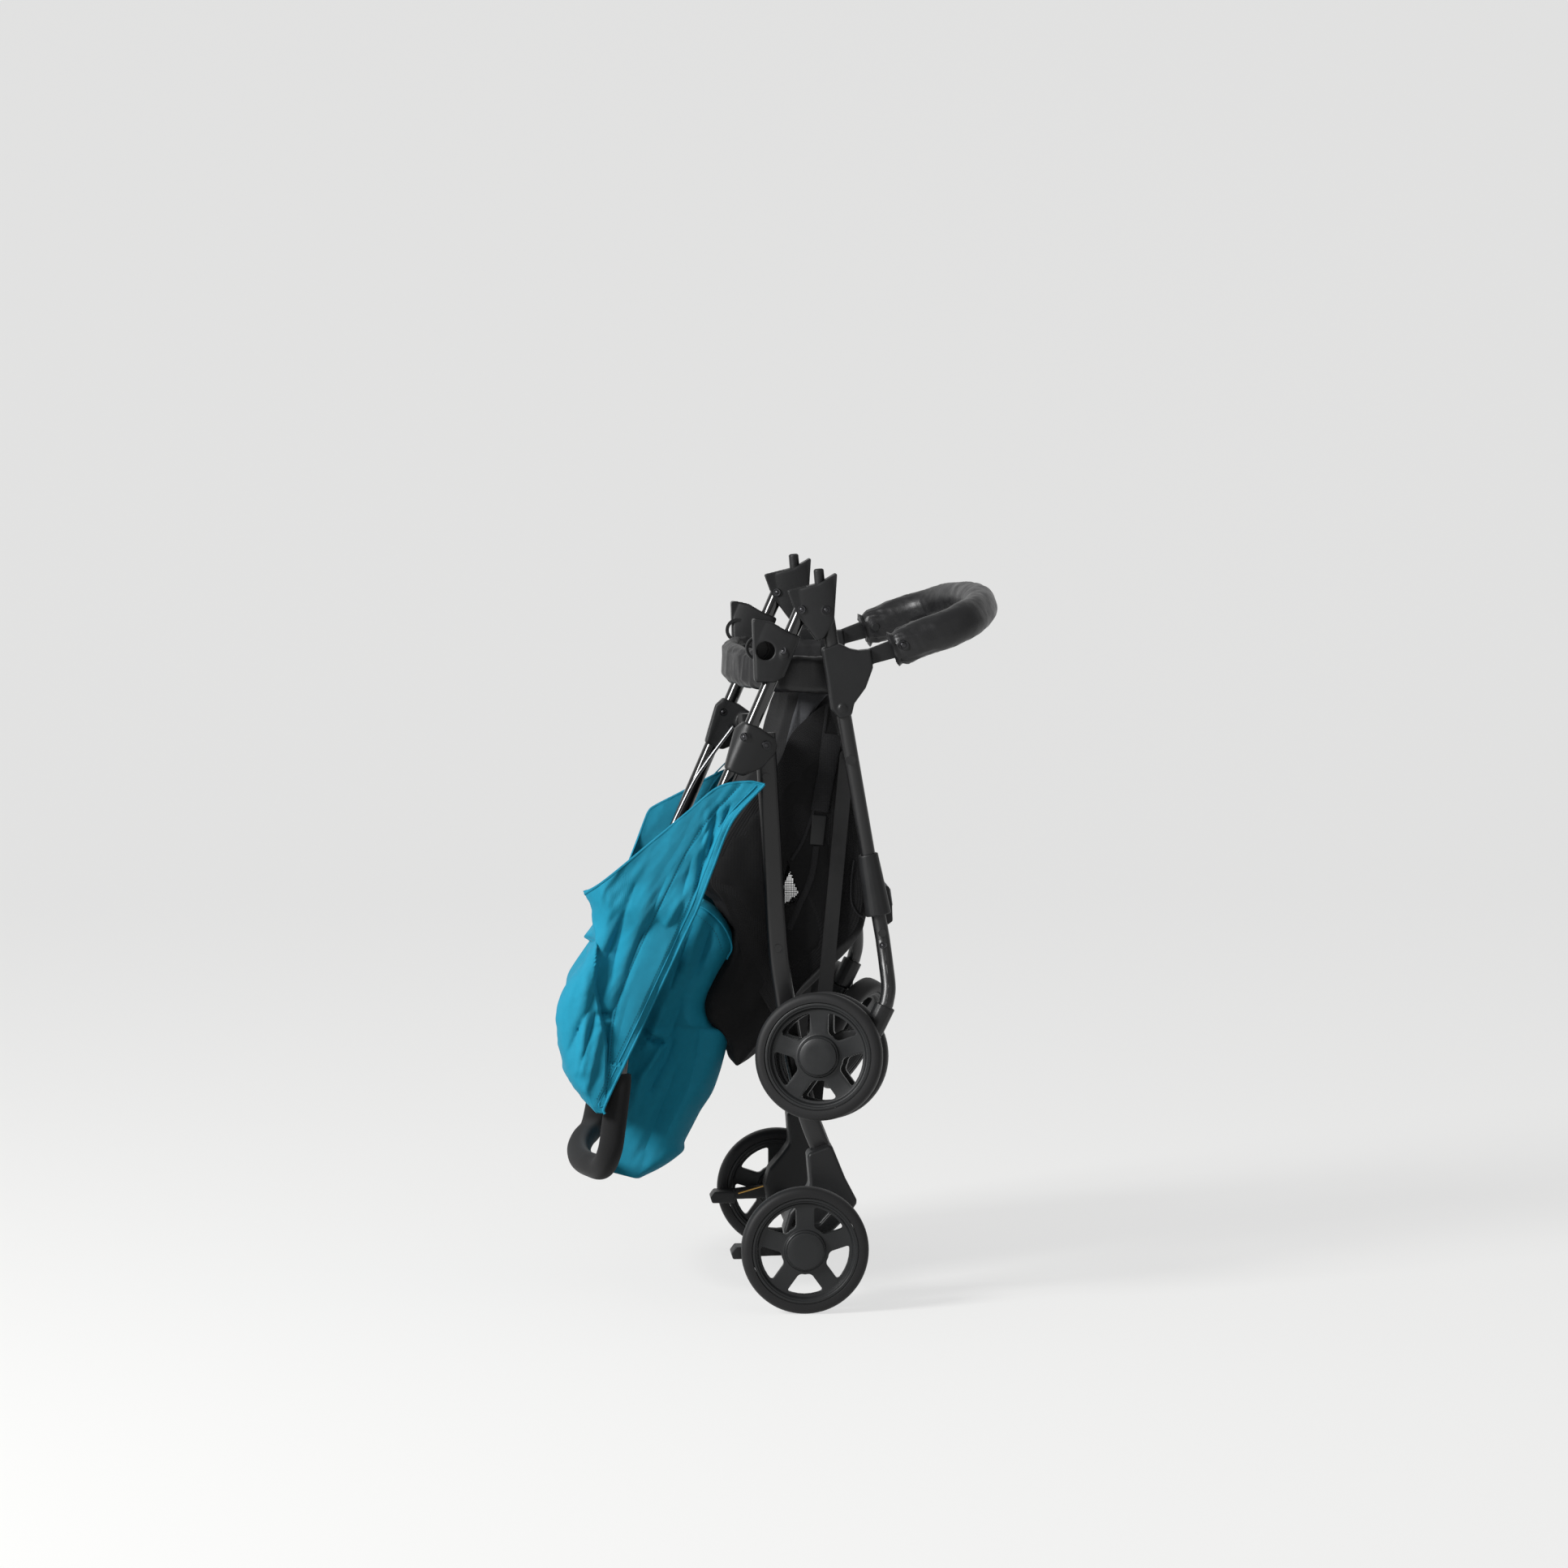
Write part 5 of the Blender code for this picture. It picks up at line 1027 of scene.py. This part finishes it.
def foldedSheet(user, right, left, sagSense, liftOf, clear):
    # along the right side, round the closed end and back along the left side
    bm = clothGrid(user["across"], user["down"])
    share, half, corner, begin = user["sideShare"], user["reach"], user["corner"], user["cornerStart"]
    bendShare = 0.08
    for vert in bm.verts:
        u, v = vert.co.x, 1.0 - vert.co.y
        side = 1.0 if u > 0.5 else -1.0
        near = 1.0 - u if u > 0.5 else u
        turned, inward = 0.0, 0.0
        if near <= share:
            s = begin * near / share
        elif near <= share + bendShare:
            angle = math.pi / 2 * (near - share) / bendShare
            s = begin + (1.0 - begin) * math.sin(angle)
            inward = corner * (1.0 - math.cos(angle))
        else:
            s = 1.0
            turned = (near - share - bendShare) / (0.5 - share - bendShare)
            inward = corner
        weight = 0.5 * turned if side < 0 else 1.0 - 0.5 * turned
        flat = right(s, v).lerp(left(s, v), weight)
        rounded = inward / corner
        lift = liftOf(flat.x, flat.y, side)
        sideLift = min(user["most"], clear(flat.x, flat.y, lift)) * (1.0 - rounded)
        wave = noise.noise(Vector((side * (1.0 - turned) * 3.2, v * 2.4, 11.0)))
        endLift = (lift + user["wave"] * wave) * rounded
        y = side * ((half - inward) * (1.0 - turned) + sideLift)
        vert.co = (flat.x + sagSense * (user["sag"] * math.sin(math.pi / 2 * turned) + endLift), y, flat.y)
    return bm


def onSide(points, user, liftOf, clear, side, out=0.0, steps=90):
    # lays side-plane points on one side of a folded sheet
    run = []
    for p in fromTo(points, steps):
        lift = min(user["most"], clear(p.x, p.y, liftOf(p.x, p.y, side)))
        run.append(Vector((p.x, side * (user["reach"] + lift + out), p.y)))
    return run


def rideOrOpen(piece, body):
    # pieces of the hood keep their place and ride on no body; any other piece rides on its own body
    if body == "hood":
        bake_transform(piece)
    else:
        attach(piece, body)
    return piece


def trimAlong(name, path, radius, body, wide=0.0, finish=tealBinding):
    bm = tubeAlong(path, radius, 10, flatBy=wide)
    return rideOrOpen(makePiece(name, bm, finish, None, sharp=60.0), body)


def stitchesAlong(name, path, body):
    # a row of short raised stitches
    radius = hoodUser["stitchRadius"]
    bm = bmesh.new()
    travelled = 0.0
    for a, b in zip(path, path[1:]):
        step = (b - a).length
        while travelled < step:
            place = a.lerp(b, travelled / step)
            turn = (b - a).to_track_quat("X", "Z").to_matrix().to_4x4()
            made = bmesh.ops.create_icosphere(bm, subdivisions=1, radius=radius)["verts"]
            bmesh.ops.scale(bm, vec=(hoodUser["stitchLong"] / 2 / radius, 1.0, 1.0), verts=made)
            bmesh.ops.transform(bm, matrix=Matrix.Translation(place) @ turn, verts=made)
            travelled += 0.001 * hoodUser["stitchMm"]
        travelled -= step
    return rideOrOpen(makePiece(name, bm, tealThread, None), body)


def sheetPiece(name, bm, thick, size, material, body, replaced=()):
    # gives a sheet its map, its finish and its thickness
    stretchMap(bm, *size)
    piece = makePiece(name, bm, material, None, replaced, sharp=80.0)
    thickness = piece.modifiers.new("thickness", "SOLIDIFY")
    thickness.thickness = thick
    thickness.offset = 0.0
    return rideOrOpen(freeze(piece), body)


def shifted(points, dx, dz):
    return [(x + dx, z + dz) for x, z in points]


def hoodRun(points, side, out=0.0):
    return onSide(points, hoodUser, hoodLift, clearOfTubes, side, out)


nearSide = sidePatch(hoodUser["edge"], hoodUser["back"], hoodUser["hem"])
farSide = sidePatch(hoodUser["edge"], hoodUser["farBack"], hoodUser["farHem"])
hood = foldedSheet(hoodUser, nearSide, farSide, 1.0, hoodLift, clearOfTubes)
hoodPiece = sheetPiece("hoodCloth", hood, hoodUser["thick"], (0.62, 0.34), tealCloth, "hood",
                       ["canopy"])
inside = hoodUser["edge"][1:-1]
secondPiping = [hoodUser["secondTop"], *shifted(inside, *hoodUser["secondShift"]), hoodUser["secondFoot"]]
for label, side in sides:
    trimAlong(f"hoodPiping_{label}", hoodRun(hoodUser["edge"], side), hoodUser["trimRadius"], "hood")
    trimAlong(f"hoodSecondPiping_{label}", hoodRun(secondPiping, side, 0.0004), 0.0008, "hood")
    stitched = hoodRun(shifted(inside, *hoodUser["stitchShift"]), side, 0.0006)
    stitchesAlong(f"hoodEdgeStitches_{label}", stitched, "hood")
    if side < 0:
        trimAlong(f"hoodSeam_{label}", hoodRun(hoodUser["seam"], side, 0.0004), 0.0004, "hood", wide=0.0022)
        stitchesAlong(f"hoodSeamStitches_{label}", hoodRun(hoodUser["seam"], side, 0.0010), "hood")
    hem = hoodUser["hem"] if side < 0 else hoodUser["farHem"]
    trimAlong(f"hoodHem_{label}", hoodRun(hem, side), 0.0008, "hood", wide=0.0006)
print("hood made")

# Rear flap: a second sheet that hangs between the handle tubes, open to the back and closed at the front
flapUser = {
    "across": 200, "down": 170, "reach": 0.1338, "corner": 0.03, "cornerStart": 0.72, "sideShare": 0.36,
    "sag": 0.01, "wave": 0.014, "thick": 0.001, "least": -0.01, "most": 0.01, "relief": 1.6,
    "pipingShift": (-0.004, -0.003), "stitchShift": (-0.0095, -0.006),
    "front": [
        (-0.1086, 0.4436), (-0.0943, 0.4354), (-0.0791, 0.419), (-0.0705, 0.3974), (-0.076, 0.383),
        (-0.0899, 0.3606), (-0.105, 0.3292), (-0.1042, 0.3157), (-0.096, 0.303), (-0.08, 0.2956),
        (-0.0828, 0.2658), (-0.0945, 0.2298), (-0.1125, 0.2029), (-0.129, 0.1732), (-0.1314, 0.1614),
        (-0.153, 0.1463), (-0.1755, 0.1357),
    ],
    "back": [
        (-0.123, 0.43), (-0.15, 0.405), (-0.176, 0.381), (-0.19, 0.36), (-0.188, 0.34), (-0.188, 0.309),
        (-0.194, 0.277), (-0.2, 0.24), (-0.202, 0.21), (-0.204, 0.172), (-0.208, 0.144),
    ],
    "folds": [
        ((-0.1068, 0.4283), (-0.1257, 0.3744), 0.008, 0.0046),
        ((-0.1257, 0.3744), (-0.1527, 0.3206), 0.009, 0.005),
        ((-0.096, 0.42), (-0.115, 0.36), 0.007, -0.004), ((-0.118, 0.415), (-0.142, 0.35), 0.006, -0.0056),
        ((-0.1527, 0.3206), (-0.168, 0.288), 0.006, 0.005),
        ((-0.168, 0.2925), (-0.149, 0.2865), 0.003, -0.009),
        ((-0.166, 0.301), (-0.148, 0.295), 0.0034, 0.004),
        ((-0.149, 0.2865), (-0.1752, 0.2487), 0.005, 0.005),
        ((-0.14, 0.29), (-0.164, 0.235), 0.005, -0.0045),
        ((-0.1752, 0.2487), (-0.1888, 0.2037), 0.007, 0.0042),
        ((-0.13, 0.33), (-0.15, 0.27), 0.008, -0.0035), ((-0.106, 0.32), (-0.115, 0.27), 0.008, -0.003),
        ((-0.11, 0.25), (-0.15, 0.18), 0.011, 0.0034), ((-0.135, 0.26), (-0.17, 0.17), 0.009, -0.003),
    ],
}


def flapLift(x, z, side, user=flapUser):
    total = user["relief"] * foldHeight(x, z, user["folds"]) * (1.0 if side < 0 else 0.7)
    total += 0.0022 * longRipple(x, z, 3.0 * side, -0.4, 75.0, 20.0)
    total += 0.0007 * longRipple(x, z, 6.0 * side, -0.5, 30.0, 8.0)
    return total - 0.0035


def notTooDeep(x, z, lift):
    return max(flapUser["least"], lift)


flapSide = sidePatch(flapUser["back"], flapUser["front"], None)
flap = foldedSheet(flapUser, flapSide, flapSide, -1.0, flapLift, notTooDeep)
flapPiece = sheetPiece("flapCloth", flap, flapUser["thick"], (0.50, 0.36), tealCloth, "handle_frame",
                       ["canopy_flap"])
lobe = shifted(flapUser["front"][:5], *flapUser["pipingShift"])
sewn = shifted(lobe[:4], *flapUser["stitchShift"])
for label, side in sides:
    trimAlong(f"flapPiping_{label}", onSide(lobe, flapUser, flapLift, notTooDeep, side, 0.0004), 0.0010,
              "handle_frame")
    stitchesAlong(f"flapStitches_{label}", onSide(sewn, flapUser, flapLift, notTooDeep, side, 0.0006),
                  "handle_frame")
print("flap made")


# Seat: folded padding and cloth between the legs, with side panels, straps, a buckle and a net window
seatUser = {
    "half": 0.1322, "voxel": 0.006, "pressure": 3.0, "cap": 0.006, "frames": 16, "inset": 0.0065,
    "outline": [
        (0.002, 0.684), (0.03, 0.684), (0.038, 0.6516), (0.051, 0.6022), (0.061, 0.5438), (0.0695, 0.4971),
        (0.074, 0.4538), (0.076, 0.428), (0.077, 0.411), (0.048, 0.383), (-0.001, 0.337), (-0.039, 0.282),
        (-0.06, 0.26), (-0.0715, 0.25), (-0.07, 0.283), (-0.099, 0.311), (-0.098, 0.331), (-0.079, 0.375),
        (-0.069, 0.408), (-0.086, 0.443), (-0.111, 0.46), (-0.106, 0.49), (-0.088, 0.533), (-0.054, 0.568),
        (-0.02, 0.609), (-0.008, 0.65),
    ],
    "window": [(-0.0132, 0.4877), (0.0003, 0.4471), (-0.0213, 0.4337)], "sight": (0.0723, -0.0854),
    "panelLeft": [
        (0.03, 0.6625), (0.0138, 0.6511), (-0.0086, 0.6288), (-0.0202, 0.602), (-0.038, 0.576),
        (-0.06, 0.547), (-0.086, 0.506), (-0.098, 0.468), (-0.084, 0.445), (-0.07, 0.412), (-0.06, 0.372),
    ],
    "panelRight": [
        (0.033, 0.66), (0.041, 0.635), (0.049, 0.605), (0.058, 0.56), (0.066, 0.51), (0.07, 0.47),
        (0.072, 0.442), (0.064, 0.412), (0.04, 0.388), (0.005, 0.352), (-0.025, 0.31),
    ],
    "lining": (
        [(0.0, 0.687), (-0.001, 0.666), (-0.007, 0.645), (-0.016, 0.61)],
        [(0.033, 0.687), (0.0345, 0.6771), (0.0174, 0.6547), (-0.012, 0.611)],
    ),
    "panelLevel": 0.13, "liningLevel": 0.124,
    "straps": {
        "seatTape": (
            [
                (0.0308, 0.6619), (0.029, 0.6422), (0.0245, 0.6063), (0.021, 0.5704), (0.0156, 0.5435),
                (0.0048, 0.5121), (-0.0086, 0.4897),
            ],
            0.0004, 0.0006, 0.0012,
        ),
        "harnessPad": (
            [(0.0371, 0.6287), (0.0335, 0.6018), (0.0281, 0.5749), (0.0228, 0.5435)], 0.0002, 0.0016,
            0.0085,
        ),
        "harnessStrap": (
            [(0.0192, 0.505), (0.0138, 0.4716), (0.0004, 0.4402), (-0.0113, 0.4132)], 0.0004, 0.0007, 0.003,
        ),
        "seatPiping": (
            [(0.0606, 0.4893), (0.0579, 0.4668), (0.0579, 0.4442), (0.0642, 0.4307), (0.072, 0.425)],
            0.0006, 0.0013, 0.0,
        ),
    },
    "buckleSize": (0.0165, 0.005, 0.034), "buckleEdge": 0.0018, "buckleTurn": 0.1,
    "bucklePlace": (0.021, 0.523), "netCells": (15, 30), "netSize": (0.03, 0.06), "netLevel": 0.1296,
    "netOverlap": 0.0016, "netWire": 0.00055,
}


def prismForm(outline, half):
    bm = bmesh.new()
    face = bm.faces.new([bm.verts.new((x, -half, z)) for x, z in outline])
    walls = bmesh.ops.extrude_face_region(bm, geom=[face])["geom"]
    far = [item for item in walls if isinstance(item, bmesh.types.BMVert)]
    bmesh.ops.translate(bm, vec=(0.0, 2 * half, 0.0), verts=far)
    bmesh.ops.recalc_face_normals(bm, faces=bm.faces)
    return bm


def inflate(piece, user):
    # remesh, let pressure fill the cloth, and cap how far each point moves
    voxelRemesh(piece, user["voxel"])
    freeze(piece)
    rest = [v.co.copy() for v in piece.data.vertices]
    cloth = piece.modifiers.new("cloth", "CLOTH")
    cloth.settings.use_pressure = True
    cloth.settings.uniform_pressure_force = user["pressure"]
    cloth.settings.effector_weights.gravity = 0.0
    cloth.settings.quality = 5
    cloth.point_cache.frame_start = 1
    cloth.point_cache.frame_end = user["frames"]
    for step in range(1, user["frames"] + 1):
        bpy.context.scene.frame_set(step)
    freeze(piece)
    for vert, start in zip(piece.data.vertices, rest):
        move = vert.co - start
        if move.length > user["cap"]:
            vert.co = start + move.normalized() * user["cap"]
    bpy.context.scene.frame_set(1)
    subdivide = piece.modifiers.new("subdivide", "SUBSURF")
    subdivide.levels = 1
    subdivide.render_levels = 1
    return freeze(piece)


def ruledSheet(leftLine, rightLine, columns, rows, y, lift, hole=None):
    # a sheet between two lines, with a hole where one is given
    left, right = fromTo(leftLine, rows), fromTo(rightLine, rows)
    bm = bmesh.new()
    bm.loops.layers.uv.new("flat")
    bmesh.ops.create_grid(bm, x_segments=columns, y_segments=rows, size=0.5, calc_uvs=True)
    for vert in bm.verts:
        s, v = vert.co.x + 0.5, 0.5 - vert.co.y
        flat = lineAt(left, v).lerp(lineAt(right, v), s)
        edgeFade = min(1.0, 8.0 * s, 8.0 * (1.0 - s), 8.0 * v + 0.2, 8.0 * (1.0 - v) + 0.2)
        vert.co = (flat.x, y + math.copysign(lift(flat.x, flat.y) * edgeFade, y), flat.y)
    if hole:
        inside = [face for face in bm.faces if insideOf(face.calc_center_median(), hole)]
        bmesh.ops.delete(bm, geom=inside, context="FACES")
    return bm


def insideOf(point, corners):
    signs = [(x1 - x0) * (point.z - z0) - (z1 - z0) * (point.x - x0)
             for (x0, z0), (x1, z1) in zip(corners, corners[1:] + corners[:1])]
    return all(value <= 0 for value in signs) or all(value >= 0 for value in signs)


def seatLift(x, z):
    slow = 0.0022 * longRipple(x, z, 4.0, 0.35, 110.0, 26.0)
    return slow + 0.0009 * longRipple(x, z, 9.0, 0.5, 45.0, 9.0)


def grownWindow(side, margin):
    # the window's corners on one side of the seat, moved out from its middle by the margin
    shift = seatUser["half"] * (1.0 + side)
    dx, dz = (shift * part for part in seatUser["sight"])
    midX, midZ = (sum(values) / 3 for values in zip(*seatUser["window"]))
    corners = []
    for x, z in seatUser["window"]:
        away = Vector((x - midX, z - midZ)).normalized() * margin * 2.0
        corners.append((x + dx + away.x, z + dz + away.y))
    return corners


seat = prismForm(seatUser["outline"], seatUser["half"] - seatUser["inset"])
seatPiece = makePiece("seatPadding", seat, blackCloth, None, ["seat_fabric"])
inflate(seatPiece, seatUser)
normals = [vert.normal.copy() for vert in seatPiece.data.vertices]
for vert, normal in zip(seatPiece.data.vertices, normals):
    at = vert.co - axleMiddle
    vert.co += normal * (0.0022 * longRipple(at.x, at.z, at.y * 12.0, 0.3, 90.0, 22.0))
windowTool = prismForm(grownWindow(-1.0, 0.0012), 0.2)
for vert in windowTool.verts:  # the window is seen through along the photograph's line of sight
    vert.co.x += (vert.co.y + seatUser["half"]) * seatUser["sight"][0]
    vert.co.z += (vert.co.y + seatUser["half"]) * seatUser["sight"][1]
bmesh.ops.translate(windowTool, vec=axleMiddle, verts=windowTool.verts)
bmesh.ops.recalc_face_normals(windowTool, faces=windowTool.faces)
cutter = looseObject("windowCutter", windowTool)
cutWith(seatPiece, cutter)
freeze(seatPiece)
bpy.data.objects.remove(cutter, do_unlink=True)
seatPiece.data.materials.clear()
seatPiece.data.materials.append(blackCloth)
seatPiece.data.shade_smooth()
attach(seatPiece, "front_frame")


def liningLift(x, z):
    # one soft vertical fold under the hoop
    return 0.0030 * math.cos((x - 0.012) * 150.0) * smoothStep((z - 0.61) / 0.05)


def bevelledBlock(size, edge):
    bm = bmesh.new()
    bmesh.ops.create_cube(bm, size=1.0)
    bmesh.ops.scale(bm, vec=size, verts=bm.verts)
    bmesh.ops.bevel(bm, geom=list(bm.edges), offset=edge, affect="EDGES", segments=3, profile=0.5,
                    material=-1)
    return bm


def netForm(side, user):
    # square net, cut to the window and turned into wire
    net = bmesh.new()
    bmesh.ops.create_grid(net, x_segments=user["netCells"][0], y_segments=user["netCells"][1], size=0.5)
    bmesh.ops.scale(net, vec=(*user["netSize"], 1.0), verts=net.verts)
    bmesh.ops.rotate(net, verts=net.verts, matrix=Matrix.Rotation(math.pi / 2, 3, "X"))
    corners = grownWindow(side, user["netOverlap"])
    midX, midZ = (sum(values) / 3 for values in zip(*corners))
    bmesh.ops.translate(net, vec=(midX, side * user["netLevel"], midZ + 0.002), verts=net.verts)
    outside = [vert for vert in net.verts if not insideOf(vert.co, corners)]
    bmesh.ops.delete(net, geom=outside, context="VERTS")
    bmesh.ops.wireframe(net, faces=net.faces, thickness=user["netWire"], use_replace=True, use_boundary=True,
                        use_even_offset=True)
    return net


for label, side in sides:
    y = side * (seatUser["half"] - 0.0008)
    window = grownWindow(side, 0.0)
    panel = ruledSheet(seatUser["panelLeft"], seatUser["panelRight"], 60, 130,
                       side * seatUser["panelLevel"], seatLift, window)
    sheetPiece(f"seatSidePanel_{label}", panel, 0.0008, (0.10, 0.36), meshCloth, "front_frame")
    lining = ruledSheet(*seatUser["lining"], 20, 40, side * seatUser["liningLevel"], liningLift)
    sheetPiece(f"seatLining_{label}", lining, 0.0010, (0.04, 0.08), greyCloth, "front_frame")
    for name, (line, out, radius, wide) in seatUser["straps"].items():
        run = [Vector((p.x, y + side * out, p.y)) for p in fromTo(line, 40)]
        trimAlong(f"{name}_{label}", run, radius, "front_frame", wide, webbing)
    buckle = bevelledBlock(seatUser["buckleSize"], seatUser["buckleEdge"])
    bmesh.ops.rotate(buckle, verts=buckle.verts, matrix=Matrix.Rotation(seatUser["buckleTurn"], 3, "Y"))
    buckleX, buckleZ = seatUser["bucklePlace"]
    bmesh.ops.translate(buckle, vec=(buckleX, y - side * 0.0008, buckleZ), verts=buckle.verts)
    makePiece(f"harnessBuckle_{label}", buckle, nylon, "front_frame")
    makePiece(f"seatNet_{label}", netForm(side, seatUser), webbing, "front_frame")
print("seat made")


# Floor, backdrop, light and camera
stageUser = {
    "floor": "#848482", "target": (-0.0071, 0.0, 0.5629), "azimuth": -4.131, "elevation": 4.869,
    "distance": 6.2539, "lens": 127.54, "keyPower": 225.0, "fillPower": 10.0, "worldStrength": 0.38,
    "paperGlow": 0.65,
}


def makeStage(user):
    bm = bmesh.new()
    bmesh.ops.create_grid(bm, x_segments=2, y_segments=2, size=12.0)
    bmesh.ops.translate(bm, vec=(0.0, -4.0, 0.0), verts=bm.verts)
    backEdges = [e for e in bm.edges if all(v.co.y > 7.9 for v in e.verts)]
    made = bmesh.ops.extrude_edge_only(bm, edges=backEdges)["geom"]
    bmesh.ops.translate(bm, vec=(0.0, 0.0, 9.0), verts=[g for g in made if isinstance(g, bmesh.types.BMVert)])
    corner = [e for e in bm.edges if all(v.co.y > 7.9 and v.co.z < 0.01 for v in e.verts)]
    bmesh.ops.bevel(bm, geom=corner, offset=4.0, affect="EDGES", segments=24, profile=0.5, material=-1)
    mesh = bpy.data.meshes.new("floorSweep")
    bm.to_mesh(mesh)
    bm.free()
    mesh.shade_smooth()
    paper = {"colour": user["floor"], "roughness": 0.9}
    material, tree, shader, _ = newMaterial("paperBackdrop", paper, {"Specular IOR Level": 0.1})
    # the paper is lit brighter than the object, which only the camera and the gloss see
    seen = addNode(tree, "LightPath")
    glow = addNode(tree, "Math", {"operation": "MAXIMUM"},
                   {0: seen.outputs["Is Camera Ray"], 1: seen.outputs["Is Glossy Ray"]})
    level = addNode(tree, "Math", {"operation": "MULTIPLY", 1: user["paperGlow"]},
                    {0: glow.outputs["Value"]})
    shader.inputs["Emission Color"].default_value = (1.0, 1.0, 1.0, 1.0)
    tree.links.new(level.outputs["Value"], shader.inputs["Emission Strength"])
    mesh.materials.append(material)
    floor = bpy.data.objects.new("floorSweep", mesh)
    bpy.context.scene.collection.objects.link(floor)


def addLamp(name, place, target, size, power):
    light = bpy.data.lights.new(name, "AREA")
    light.shape = "RECTANGLE"
    light.size, light.size_y = size
    light.energy = power
    lamp = bpy.data.objects.new(name, light)
    bpy.context.scene.collection.objects.link(lamp)
    lamp.location = place
    lamp.rotation_euler = (Vector(target) - Vector(place)).to_track_quat("-Z", "Y").to_euler()


makeStage(stageUser)
addLamp("keyPanel", (-3.3, -2.1, 2.4), (0.0, 0.0, 0.35), (1.2, 1.4), stageUser["keyPower"])
addLamp("fillPanel", (2.6, -4.0, 2.6), (0.0, 0.0, 0.4), (3.0, 3.0), stageUser["fillPower"])
world = bpy.data.worlds.new("studioAir")
bpy.context.scene.world = world
world.use_nodes = True
air = world.node_tree.nodes["Background"]
air.inputs["Color"].default_value = (1.0, 1.0, 1.0, 1.0)
air.inputs["Strength"].default_value = stageUser["worldStrength"]

azimuth, elevation = math.radians(stageUser["azimuth"]), math.radians(stageUser["elevation"])
target = Vector(stageUser["target"]) + axleMiddle
away = Vector((math.sin(azimuth) * math.cos(elevation), -math.cos(azimuth) * math.cos(elevation),
               math.sin(elevation)))
lens = bpy.data.cameras.new("photoCamera")
lens.lens = stageUser["lens"]
lens.sensor_width = 36.0
camera = bpy.data.objects.new("photoCamera", lens)
bpy.context.scene.collection.objects.link(camera)
camera.location = target + away * stageUser["distance"]
camera.rotation_euler = (-away).to_track_quat("-Z", "Y").to_euler()
bpy.context.scene.camera = camera
bpy.context.scene.view_settings.view_transform = "Standard"
print("stage made")
